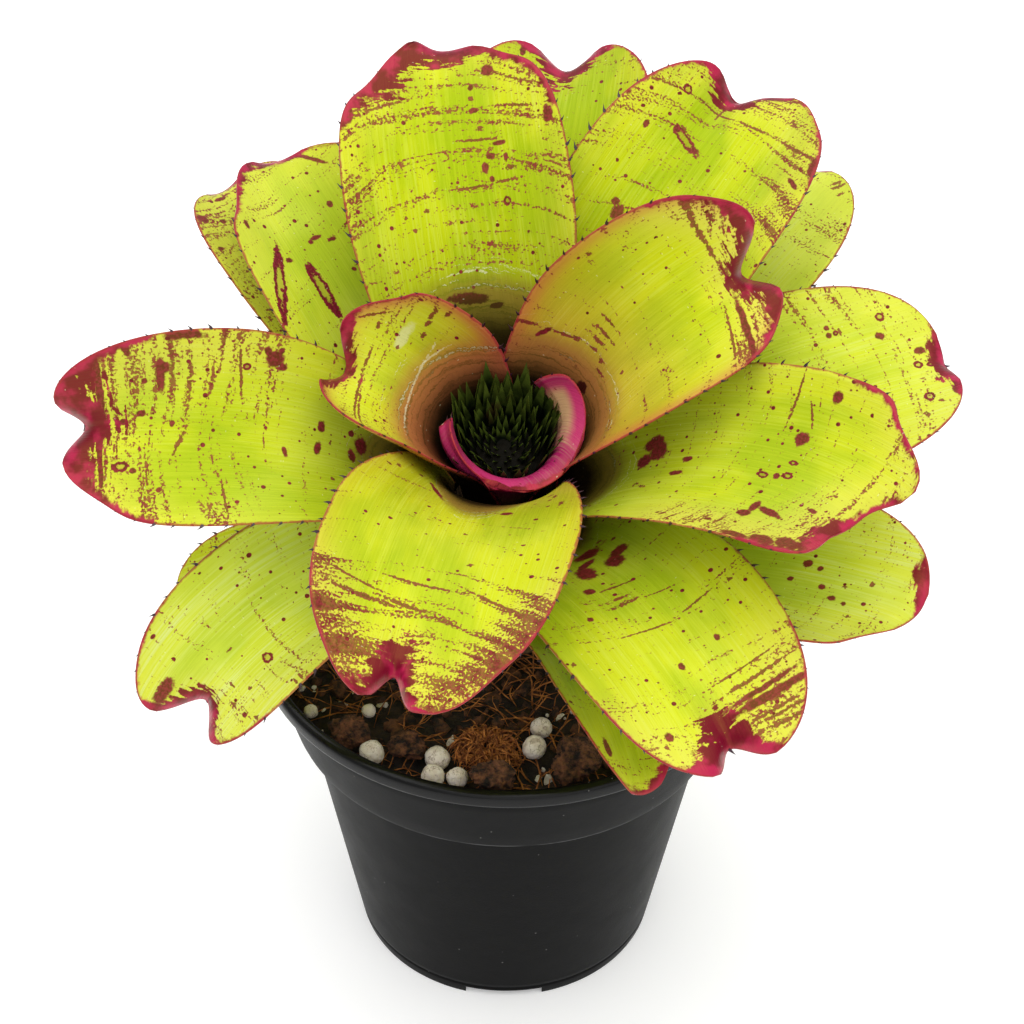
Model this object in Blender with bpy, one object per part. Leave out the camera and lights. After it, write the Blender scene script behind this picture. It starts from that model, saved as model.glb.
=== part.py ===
"""A rosette bromeliad in its nursery pot, with the potting mix and the loose pieces on it."""

import math

import bmesh
import bpy
from mathutils import Vector, noise

MM = 0.001
GAP = 0.4  # clearance between pieces that touch

# All sizes are in millimetres and all angles in degrees. Sizes are given in the pot's own frame,
# whose origin is the middle of the pot's base. That frame stands off the origin by POT_SHIFT,
# so that the plant as a whole is centred on the origin.
POT_SHIFT = (0.2, -4.6)

# Pot
POT_SIDES = 64
POT_HEIGHT = 117.5
RIM_R = 76.0
RIM_HEIGHT = 5.0
RIM_THICKNESS = 2.6
RIM_ROUNDING = 1.2
RIM_LIP = 0.6
COLLAR_TOP_R = 73.2
COLLAR_BOTTOM_R = 66.5
COLLAR_BOTTOM_Z = 87.5
BODY_TOP_R = 62.5
BASE_R = 47.5
WALL = 1.6
FOOT_HEIGHT = 3.4
FOOT_WIDTH = 3.0
FOOT_ROUNDING = 0.6
FLOOR_THICKNESS = 1.6
WALL_START = 1.0  # height of the plain band of wall above the feet
SLOT_HEIGHT = 3.0
SLOT_WIDTH = 24.0

# Potting mix
MIX_TOP_Z = 104.0
MIX_LUMP = 1.5
MIX_LUMP_SIZE = 14.0
MIX_SIDES = 36
MIX_RINGS = 6
MIX_SIDE_GAP = 0.6

# The crown is the point on the stem's axis where the outermost leaf is carried
CROWN = (-2.0, 16.0, 126.0)
CROWN_LEAN = 18.0  # towards -Y

# Stem
STEM_SIDES = 20
STEM_BOTTOM_H = -45.0
STEM_BOTTOM_R = 12.0
STEM_GAP = 0.65

# Leaves, counted from the innermost. Each rises as a sheath around the stem, then opens into a blade.
INNER_BASE_R = 10.0
BASE_R_SPREAD = 2.0
BASE_R_POWER = 0.75
INNER_BASE_H = 46.0
BASE_H_STEP = 3.2
WIDEST_WRAP = 120.0
LEAF_THICKNESS = 1.0
MARGIN_THICKNESS = 0.5
LEAF_ROWS = 12
LEAF_COLUMNS = 6
STEPS_PER_ROW = 4
TIP_CROWDING = 0.55
ARCH_CENTRE = 0.45
SHEATH_LIFT = 80.0
SHEATH_FADE = 0.18
WIDEN_FROM = 0.08
WIDEN_TO = 0.62
SHEATH_LENGTH = 19.0
FLATTEN_TO = 0.62
CURVE_FROM = 0.15
SWEEP_GAIN = 1.5
ROUND_POWER = 2.5
TIP_BLUNTNESS = 0.965

# Flower cushion
CUSHION_FOOT_R = 7.0
CUSHION_R = 13.5
CUSHION_H = 8.0
CUSHION_FLARE_H = 21.0
CUSHION_SIDES = 24
CUSHION_RINGS = 6

# Loose pieces lying on the mix, each as (x, y, radius)
CLAY_BALLS = [
    (-39, -49, 3.6),
    (-20, -50, 3.6),
    (-21, -58, 3.4),
    (-14, -59, 3.1),
    (10, -37, 3.1),
    (8, -46, 3.5),
    (-41, -30, 2.1),
    (-58, -31, 2.1),
]
HUSKS = [
    (-46, -42, 5.0),
    (-29, -46, 4.4),
    (20, -54, 6.4),
    (-4, -61, 5.2),
]
LOOSE_GAP = 1.0  # over the mix's own surface, which is faceted
HUSK_FLATNESS = 0.75
COIR_TUFT = (-6, -46, 9.0)
COIR_FLATNESS = 0.5
LUMPINESS = 0.18
LUMP_DETAIL = 0.9


class Leaf:
    """One leaf: where it points, how it stands, and how long, wide, twisted and hollow it is."""

    def __init__(
        self, turn, lift, arch, length, half_width, twist=0, sweep=0, channel=32, waist=0.75, rounding=0.64
    ):
        self.turn = turn
        self.lift = lift
        self.arch = arch
        self.length = length
        self.half_width = half_width
        self.twist = twist
        self.sweep = sweep
        self.channel = channel
        self.waist = waist
        self.rounding = rounding


LEAVES = [
    Leaf(303, 74, 48, 30, 34, channel=112, waist=0.6, rounding=0.9),
    Leaf(166, 57, 92, 64, 30.5, twist=-20, sweep=-3, channel=80),
    Leaf(24, 53, 87, 104, 32, twist=34, sweep=4, channel=58),
    Leaf(258, 42, 101, 137, 33.5, twist=-1, channel=31, waist=0.68),
    Leaf(103, 33, 52, 131, 34.5, twist=-5, sweep=-8, channel=31),
    Leaf(341, 37, 50, 133, 31, twist=8, sweep=-26, channel=38, waist=0.52, rounding=0.8),
    Leaf(189, 27, 76, 131, 30, twist=-38, sweep=-9, channel=42, rounding=0.6),
    Leaf(53, 30, 60, 145, 35, sweep=4, channel=34),
    Leaf(302, 29, 69, 135, 30, twist=2, sweep=-5, channel=22),
    Leaf(130, 29, 46, 121, 33, twist=12, sweep=-9, channel=32),
    Leaf(6, 28, 48, 132, 35, twist=-4, sweep=9, channel=22),
    Leaf(214.5, 10, 112, 116, 25, twist=-26, sweep=8, channel=48),
    Leaf(83, 25, 62, 153, 34, twist=-6, channel=36),
    Leaf(293.5, 28, 50, 112, 18, twist=-12, sweep=-9, channel=40, rounding=0.5),
    Leaf(132, 28, 58, 131, 26, twist=4, channel=34),
    Leaf(50, 25, 55, 146, 34, twist=6, channel=32),
    Leaf(112, 17, 55, 120, 30, channel=32),
    Leaf(335, 34, 49, 129, 29, twist=-2, sweep=-2, channel=34),
    Leaf(196, 10, 60, 82, 24, channel=32),
]


def clear_scene():
    for thing in list(bpy.data.objects):
        bpy.data.objects.remove(thing, do_unlink=True)


def material(name, colour, roughness, metallic=0.0):
    made = bpy.data.materials.new(name)
    made.use_nodes = True
    shader = made.node_tree.nodes["Principled BSDF"]
    shader.inputs["Base Color"].default_value = (*colour, 1.0)
    shader.inputs["Roughness"].default_value = roughness
    shader.inputs["Metallic"].default_value = metallic
    return made


def frame(name, location, lean=0.0, parent=None):
    """An empty that carries pieces: location in millimetres, leaning towards -Y by lean degrees."""
    empty = bpy.data.objects.new(name, None)
    empty.location = Vector(location) * MM
    empty.rotation_euler = (math.radians(lean), 0.0, 0.0)
    empty.parent = parent
    bpy.context.collection.objects.link(empty)
    return empty


def finish(name, bm, look, parent, location=(0, 0, 0), turn=0.0, sharp_angle=40.0):
    """Makes a node of a mesh in millimetres, shaded smooth up to sharp_angle."""
    bmesh.ops.recalc_face_normals(bm, faces=bm.faces)
    bmesh.ops.scale(bm, vec=(MM, MM, MM), verts=bm.verts)
    mesh = bpy.data.meshes.new(name)
    bm.to_mesh(mesh)
    bm.free()
    mesh.shade_smooth()
    mesh.set_sharp_from_angle(angle=math.radians(sharp_angle))
    mesh.materials.append(look)
    node = bpy.data.objects.new(name, mesh)
    node.location = Vector(location) * MM
    node.rotation_euler = (0.0, 0.0, math.radians(turn))
    node.parent = parent
    bpy.context.collection.objects.link(node)
    return node


def lathe(outline, sides):
    """Spins an outline of (radius, height) points, which starts and ends on the axis, about Z."""
    bm = bmesh.new()
    points = [bm.verts.new((radius, 0.0, height)) for radius, height in outline]
    edges = [bm.edges.new(pair) for pair in zip(points, points[1:])]
    bmesh.ops.spin(
        bm,
        geom=points + edges,
        cent=(0, 0, 0),
        axis=(0, 0, 1),
        angle=math.tau,
        steps=sides,
        use_merge=True,
    )
    bmesh.ops.remove_doubles(bm, verts=bm.verts, dist=0.01)
    return bm


def cut(node, cutter):
    """Takes cutter out of node, and keeps it hidden as a guide."""
    modifier = node.modifiers.new("cut_" + cutter.name, "BOOLEAN")
    modifier.operation = "DIFFERENCE"
    modifier.solver = "EXACT"
    modifier.object = cutter
    cutter.hide_render = True
    cutter.display_type = "WIRE"


def taper_r(z, low, high):
    """Radius at height z on the straight line between two (radius, height) points."""
    return low[0] + (high[0] - low[0]) * (z - low[1]) / (high[1] - low[1])


def inner_body_r(z):
    return taper_r(z, (BASE_R - WALL, 0.0), (BODY_TOP_R - WALL, COLLAR_BOTTOM_Z))


def inner_collar_r(z):
    rim_foot = POT_HEIGHT - RIM_HEIGHT
    return taper_r(z, (COLLAR_BOTTOM_R - WALL, COLLAR_BOTTOM_Z), (COLLAR_TOP_R - WALL, rim_foot))


def pot_outline():
    """Half section of the pot, from under its floor, up the outside, over the rim and down the inside."""
    rim_foot = POT_HEIGHT - RIM_HEIGHT
    floor_top = FOOT_HEIGHT + FLOOR_THICKNESS
    wall_start = FOOT_HEIGHT + WALL_START
    step_top = COLLAR_BOTTOM_Z + WALL
    return [
        (0.0, FOOT_HEIGHT),
        (BASE_R - FOOT_WIDTH, FOOT_HEIGHT),
        (BASE_R - FOOT_WIDTH, 0.0),
        (BASE_R - FOOT_ROUNDING, 0.0),
        (BASE_R, FOOT_ROUNDING),
        (taper_r(wall_start, (BASE_R, FOOT_ROUNDING), (BODY_TOP_R, COLLAR_BOTTOM_Z)), wall_start),
        (BODY_TOP_R, COLLAR_BOTTOM_Z),
        (COLLAR_BOTTOM_R, COLLAR_BOTTOM_Z),
        (COLLAR_TOP_R, rim_foot),
        (RIM_R - RIM_LIP, rim_foot + RIM_LIP),
        (RIM_R, rim_foot + RIM_ROUNDING),
        (RIM_R, POT_HEIGHT - RIM_ROUNDING),
        (RIM_R - RIM_ROUNDING, POT_HEIGHT),
        (RIM_R - RIM_THICKNESS, POT_HEIGHT - RIM_LIP),
        (inner_collar_r(rim_foot), rim_foot),
        (inner_collar_r(step_top), step_top),
        (inner_body_r(step_top), step_top),
        (inner_body_r(floor_top), floor_top),
        (0.0, floor_top),
    ]


def slot_cutter(name, axis, parent):
    """A long flat bar through the foot ring, which opens two opposite drain slots."""
    bm = bmesh.new()
    bmesh.ops.create_cube(bm, size=1.0)
    length = 2 * (BASE_R + FOOT_WIDTH)
    size = (length, SLOT_WIDTH, 2 * SLOT_HEIGHT) if axis == "X" else (SLOT_WIDTH, length, 2 * SLOT_HEIGHT)
    bmesh.ops.scale(bm, vec=size, verts=bm.verts)
    return finish(name, bm, None, parent)


def make_pot(pot_frame, look):
    pot = finish("pot", lathe(pot_outline(), POT_SIDES), look, pot_frame)
    for axis in "XY":
        cut(pot, slot_cutter("slot_cutter_" + axis, axis, pot_frame))


def mix_height(x, y):
    """Height of the mix's lumpy surface."""
    place = Vector((x, y, 0.0)) / MIX_LUMP_SIZE
    return MIX_TOP_Z + MIX_LUMP * noise.noise(place)


def make_potting_mix(pot_frame, crown_frame, look):
    """Fills the pot up to MIX_TOP_Z and leaves a socket for the stem."""
    floor = FOOT_HEIGHT + FLOOR_THICKNESS + GAP
    step_top = COLLAR_BOTTOM_Z + WALL + GAP
    top_r = inner_collar_r(MIX_TOP_Z) - MIX_SIDE_GAP
    outline = [
        (0.0, floor),
        (inner_body_r(floor) - GAP, floor),
        (inner_body_r(step_top) - GAP, step_top),
        (inner_collar_r(step_top) - MIX_SIDE_GAP, step_top),
    ]
    outline += [(top_r * ring / MIX_RINGS, MIX_TOP_Z) for ring in range(MIX_RINGS, -1, -1)]
    bm = lathe(outline, MIX_SIDES)
    for vert in bm.verts:
        if vert.co.z > MIX_TOP_Z - 0.01:
            vert.co.z = mix_height(vert.co.x, vert.co.y)
    mix = finish("potting_mix", bm, look, pot_frame)
    socket = [(radius + GAP if radius else 0.0, height) for radius, height in stem_outline(GAP)]
    cut(mix, finish("stem_socket_cutter", lathe(socket, STEM_SIDES), None, crown_frame))


def leaf_base(order):
    """Radius and height on the stem at which the leaf of this order is carried."""
    return INNER_BASE_R + BASE_R_SPREAD * order**BASE_R_POWER, INNER_BASE_H - BASE_H_STEP * order


def stem_outline(extra=0.0):
    """A root stock that widens from its foot to the lowest leaf and narrows from there to the top."""
    clearance = LEAF_THICKNESS / 2 + STEM_GAP
    outline = [(0.0, STEM_BOTTOM_H - extra), (STEM_BOTTOM_R, STEM_BOTTOM_H - extra)]
    for order in range(len(LEAVES) - 1, -1, -3):
        base_r, base_h = leaf_base(order)
        outline.append((base_r - clearance, base_h))
    return outline + [(0.0, outline[-1][1])]


def make_stem(crown_frame, look):
    finish("stem", lathe(stem_outline(), STEM_SIDES), look, crown_frame)


def ease(low, high, value):
    t = min(max((value - low) / (high - low), 0.0), 1.0)
    return t * t * (3.0 - 2.0 * t)


def along(leaf, part):
    """Lift, sweep, half-width and twist of a leaf at a part of its length: 0 is its base, 1 its tip."""
    free_lift = leaf.lift + leaf.arch * (ARCH_CENTRE - part)
    base_lift = leaf.lift + leaf.arch * ARCH_CENTRE
    lift = free_lift + (SHEATH_LIFT - base_lift) * math.exp(-part / SHEATH_FADE)
    sweep = leaf.sweep * SWEEP_GAIN * max(part - CURVE_FROM, 0.0) ** 1.5
    width = leaf.half_width * (leaf.waist + (1.0 - leaf.waist) * ease(WIDEN_FROM, WIDEN_TO, part))
    tip = max(part - leaf.rounding, 0.0) / (1.0 - leaf.rounding)
    width *= (1.0 - TIP_BLUNTNESS * tip**ROUND_POWER) ** (1.0 / ROUND_POWER)
    twist = leaf.twist * ease(CURVE_FROM, 1.0, part)
    return math.radians(lift), math.radians(sweep), width, math.radians(twist)


def leaf_part(share):
    """How far along its length a leaf is at this share of its rows, which crowd towards the tip."""
    return (1.0 - TIP_CROWDING) * share + TIP_CROWDING * math.sin(math.pi / 2 * share)


def heading(lift, sweep):
    """The way a leaf runs on where it has this lift and sweep."""
    level = math.cos(lift)
    return Vector((level * math.cos(sweep), level * math.sin(sweep), math.sin(lift)))


def leaf_sections(leaf, order):
    """Cross-sections of a leaf, each as (centre, lateral, upper normal, half-width, half-angle)."""
    base_r, base_h = leaf_base(order)
    centre = Vector((base_r, 0.0, base_h))
    steps = LEAF_ROWS * STEPS_PER_ROW
    parts = [leaf_part(step / steps) for step in range(steps + 1)]
    sections = []
    for step, part in enumerate(parts):
        if step:
            middle = (part + parts[step - 1]) / 2
            lift, sweep, _, _ = along(leaf, middle)
            centre = centre + heading(lift, sweep) * leaf.length * (part - parts[step - 1])
        if step % STEPS_PER_ROW:
            continue
        lift, sweep, width, twist = along(leaf, part)
        level = Vector((-math.sin(sweep), math.cos(sweep), 0.0))
        upper = heading(lift, sweep).cross(level)
        lateral = level * math.cos(twist) + upper * math.sin(twist)
        upper = upper * math.cos(twist) - level * math.sin(twist)
        wrap = min(width / math.hypot(centre.x, centre.y), math.radians(WIDEST_WRAP))
        blend = ease(SHEATH_LENGTH / leaf.length, FLATTEN_TO, part)
        half_angle = math.radians(leaf.channel) * blend + wrap * (1.0 - blend)
        sections.append((centre, lateral, upper, width, half_angle))
    return sections


def leaf_surface(leaf, order):
    """Grid of points of a leaf's middle surface, one row per section."""
    rows = []
    for centre, lateral, upper, width, half_angle in leaf_sections(leaf, order):
        bend_r = width / half_angle
        row = []
        for column in range(LEAF_COLUMNS + 1):
            angle = half_angle * (2.0 * column / LEAF_COLUMNS - 1.0)
            rise = bend_r * (1.0 - math.cos(angle))
            row.append(centre + lateral * bend_r * math.sin(angle) + upper * rise)
        rows.append(row)
    return rows


def surface_normal(rows, row, column):
    last_row = len(rows) - 1
    last_column = len(rows[0]) - 1
    forward = rows[min(row + 1, last_row)][column] - rows[max(row - 1, 0)][column]
    across = rows[row][min(column + 1, last_column)] - rows[row][max(column - 1, 0)]
    return forward.cross(across).normalized()


def leaf_solid(leaf, order):
    """Closes a leaf: the middle surface is thickened both ways, thinner at the margins."""
    rows = leaf_surface(leaf, order)
    bm = bmesh.new()
    sides = []
    for sign in (1.0, -1.0):
        side = []
        for r, row in enumerate(rows):
            line = []
            for c, point in enumerate(row):
                edge = c in (0, LEAF_COLUMNS) or r == LEAF_ROWS
                thickness = MARGIN_THICKNESS if edge else LEAF_THICKNESS
                line.append(bm.verts.new(point + surface_normal(rows, r, c) * sign * thickness / 2))
            side.append(line)
        sides.append(side)
    top, bottom = sides
    for r in range(LEAF_ROWS):
        for c in range(LEAF_COLUMNS):
            bm.faces.new((top[r][c], top[r][c + 1], top[r + 1][c + 1], top[r + 1][c]))
            bm.faces.new((bottom[r][c], bottom[r + 1][c], bottom[r + 1][c + 1], bottom[r][c + 1]))
    rim = [(0, c) for c in range(LEAF_COLUMNS)]
    rim += [(r, LEAF_COLUMNS) for r in range(LEAF_ROWS)]
    rim += [(LEAF_ROWS, c) for c in range(LEAF_COLUMNS, 0, -1)]
    rim += [(r, 0) for r in range(LEAF_ROWS, 0, -1)]
    for (r0, c0), (r1, c1) in zip(rim, rim[1:] + rim[:1]):
        bm.faces.new((top[r0][c0], bottom[r0][c0], bottom[r1][c1], top[r1][c1]))
    return bm


def make_leaves(crown_frame, look):
    for order, leaf in enumerate(LEAVES):
        name = f"leaf_{order + 1:02d}"
        finish(name, leaf_solid(leaf, order), look, crown_frame, turn=leaf.turn, sharp_angle=60.0)


def make_flower_cushion(crown_frame, look):
    """A low dome of pointed bracts packed in the middle of the cup, standing on the stem's top."""
    base = INNER_BASE_H + GAP
    outline = [(0.0, base), (CUSHION_FOOT_R, base)]
    for ring in range(CUSHION_RINGS + 1):
        angle = math.pi / 2 * ring / CUSHION_RINGS
        outline.append((CUSHION_R * math.cos(angle), base + CUSHION_FLARE_H + CUSHION_H * math.sin(angle)))
    finish("flower_cushion", lathe(outline, CUSHION_SIDES), look, crown_frame)


def lump(radius, flatness, seed):
    """An uneven ball, flattened in height."""
    bm = bmesh.new()
    bmesh.ops.create_icosphere(bm, subdivisions=2, radius=radius)
    for vert in bm.verts:
        bump = noise.noise(vert.co / radius * LUMP_DETAIL + Vector((seed, 0.0, 0.0)))
        vert.co *= 1.0 + LUMPINESS * bump
    bmesh.ops.scale(bm, vec=(1.0, 1.0, flatness), verts=bm.verts)
    return bm


def lay(name, bm, place, look, pot_frame):
    """Lays a loose piece on the mix at this place."""
    x, y, _ = place
    lowest = min(vert.co.z for vert in bm.verts)
    finish(name, bm, look, pot_frame, location=(x, y, mix_height(x, y) - lowest + LOOSE_GAP))


def make_loose_pieces(pot_frame, clay, husk, coir):
    for number, place in enumerate(CLAY_BALLS, 1):
        bm = bmesh.new()
        bmesh.ops.create_icosphere(bm, subdivisions=2, radius=place[2])
        lay(f"clay_ball_{number:02d}", bm, place, clay, pot_frame)
    for number, place in enumerate(HUSKS, 1):
        lay(f"husk_{number:02d}", lump(place[2], HUSK_FLATNESS, number), place, husk, pot_frame)
    lay("coir_tuft", lump(COIR_TUFT[2], COIR_FLATNESS, 0), COIR_TUFT, coir, pot_frame)


def main():
    clear_scene()
    plastic = material("pot_plastic", (0.022, 0.023, 0.024), 0.42)
    mix = material("potting_mix", (0.045, 0.026, 0.016), 0.95)
    stem = material("stem", (0.12, 0.07, 0.03), 0.8)
    leaf = material("leaf", (0.45, 0.52, 0.03), 0.35)
    bract = material("bract", (0.03, 0.09, 0.02), 0.5)
    clay = material("clay_ball", (0.45, 0.43, 0.40), 0.8)
    husk = material("husk", (0.13, 0.055, 0.03), 0.9)
    coir = material("coir", (0.35, 0.13, 0.04), 0.9)
    pot_frame = frame("pot_frame", (*POT_SHIFT, 0.0))
    crown_frame = frame("crown_frame", CROWN, CROWN_LEAN, pot_frame)
    make_pot(pot_frame, plastic)
    make_potting_mix(pot_frame, crown_frame, mix)
    make_stem(crown_frame, stem)
    make_leaves(crown_frame, leaf)
    make_flower_cushion(crown_frame, bract)
    make_loose_pieces(pot_frame, clay, husk, coir)


main()
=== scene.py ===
import math
import random
from dataclasses import dataclass, field

import bpy
import numpy as np
from bpy.props import FloatProperty, FloatVectorProperty, IntProperty, PointerProperty
from mathutils import Matrix, Vector, noise


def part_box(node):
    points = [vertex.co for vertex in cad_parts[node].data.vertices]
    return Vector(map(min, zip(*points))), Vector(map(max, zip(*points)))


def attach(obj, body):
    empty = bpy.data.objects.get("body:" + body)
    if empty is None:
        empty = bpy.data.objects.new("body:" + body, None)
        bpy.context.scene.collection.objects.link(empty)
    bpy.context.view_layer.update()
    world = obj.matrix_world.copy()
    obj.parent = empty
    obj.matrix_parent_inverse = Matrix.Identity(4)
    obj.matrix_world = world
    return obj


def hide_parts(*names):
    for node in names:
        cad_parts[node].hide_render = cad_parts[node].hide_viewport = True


bl_info = {
    "name": "Potted bromeliad",
    "version": (1, 0, 0),
    "blender": (4, 5, 0),
    "location": "3D View > Sidebar > Bromeliad",
    "description": "Dresses the frame: pot, mix, loose pieces, stem, leaves and flower cushion",
    "category": "Object",
}

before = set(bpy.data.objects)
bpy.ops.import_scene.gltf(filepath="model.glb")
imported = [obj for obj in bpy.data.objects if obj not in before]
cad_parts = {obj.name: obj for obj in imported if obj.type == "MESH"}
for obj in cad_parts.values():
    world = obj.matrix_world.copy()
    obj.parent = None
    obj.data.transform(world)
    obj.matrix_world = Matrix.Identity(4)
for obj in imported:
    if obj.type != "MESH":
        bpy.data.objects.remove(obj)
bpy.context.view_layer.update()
MM = 0.001
POT_LOW, POT_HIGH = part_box("pot")
POT_CENTRE = Vector(((POT_LOW.x + POT_HIGH.x) / 2, (POT_LOW.y + POT_HIGH.y) / 2, POT_LOW.z)) / MM
ORIGIN = (0.0, 0.0, 0.0)

# Sizes are in millimetres and angles in degrees, in the pot's own frame, whose origin is the middle
# of the pot's base. The crown is where the outermost leaf is carried; its frame leans towards -Y.
CROWN = (-2.0, 16.0, 126.0)
CROWN_LEAN = 18.0
CROWN_FRAME = Matrix.Translation(Vector(CROWN)) @ Matrix.Rotation(math.radians(CROWN_LEAN), 4, "X")
INNER_BASE_R = 10.0
BASE_R_SPREAD = 2.0
BASE_R_POWER = 0.75
INNER_BASE_H = 46.0
BASE_H_STEP = 3.2
WIDEST_WRAP = math.radians(120.0)
SHEATH_LENGTH = 19.0
SHEATH_LIFT = 80.0
SHEATH_FADE = 0.18
TIP_CROWDING = 0.55
ARCH_CENTRE = 0.45
WIDEN = (0.08, 0.62)
FLATTEN_TO = 0.62
CURVE_FROM = 0.15
SWEEP_GAIN = 1.5
SWEEP_POWER = 1.5
ROUND_POWER = 2.5
TIP_BLUNTNESS = 0.965

# What the dressed leaf adds to the frame's: its cut-back tip, its rolled lip and its waves.
LEAF_ROWS = 84
LEAF_COLUMNS = 44
CUT_FROM = 0.62  # where along the rows the notch and the shoulders begin to be felt
LIP_WIDTH = 6.0
LIP_CURL = 0.5
LIP_REACH = 2.4  # how far the rolled lip reaches beside the notch, in notch widths
WAVE_ACROSS = 26.0
WAVE_ALONG = 34.0
WAVE_HEIGHT = 1.6
WAVE_RISE = (0.35, 0.7)  # parts of the leaf's length between which the waves set in
WAVE_AT_MIDRIB = 0.35
LEAF_SEED_STEP = 7.3
TIP_ROWS_FROM = 0.7
MARGIN_THINNESS = 0.45
THICKENS_OVER = 7.0
SPAN_SCALE = 200.0  # millimetres of leaf to one unit of its own map


@dataclass
class Leaf:
    """A leaf's stand and shape, as in the frame, then its cut-away tip and its colouring."""

    turn: float
    lift: float
    arch: float
    length: float
    half_width: float
    twist: float = 0.0
    sweep: float = 0.0
    channel: float = 32.0
    waist: float = 0.75
    rounding: float = 0.64
    notch_at: float = 0.0
    notch_depth: float = 6.0
    notch_width: float = 4.5
    notch_curl: float = -4.0
    roll: float = 2.0  # how far the lip beside the notch curls under
    shoulders: list = field(default_factory=list)  # (where across, how deep, how wide)
    green: float = 0.4
    pale: float = 0.2
    blush: float = 0.0  # orange on the inner leaves
    magenta: bool = False  # the innermost leaf's own colour
    scurf: float = 0.15
    # sheath also sets where the near-black painted shade begins, below the brown base.
    sheath: tuple = (48.0, 0.012)  # how far up the brown base reaches, and its droop outwards
    lines: float = 0.4
    lines_from: float = 60.0  # how far along the dark cross lines begin
    slant: float = 0.0
    bow: float = -4.0  # how far the lines arch: below 0 towards the base at the margins
    smears: float = 0.2
    smear_side: float = 0.0  # -1 for the left margin, 1 for the right
    specks: float = 0.5
    tip: tuple = (0.0, 5.0, 9.0)  # where across, how deep and how wide its crimson is
    edge: float = 0.5  # depth of the crimson along the rest of the tip's edge
    spots: list = field(default_factory=list)  # (across, along, half-width, half-length, turn)
    rings: list = field(default_factory=list)  # the same, for scars with a pale middle
    silver: list = field(default_factory=list)  # the same, for pale scuffs


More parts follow.
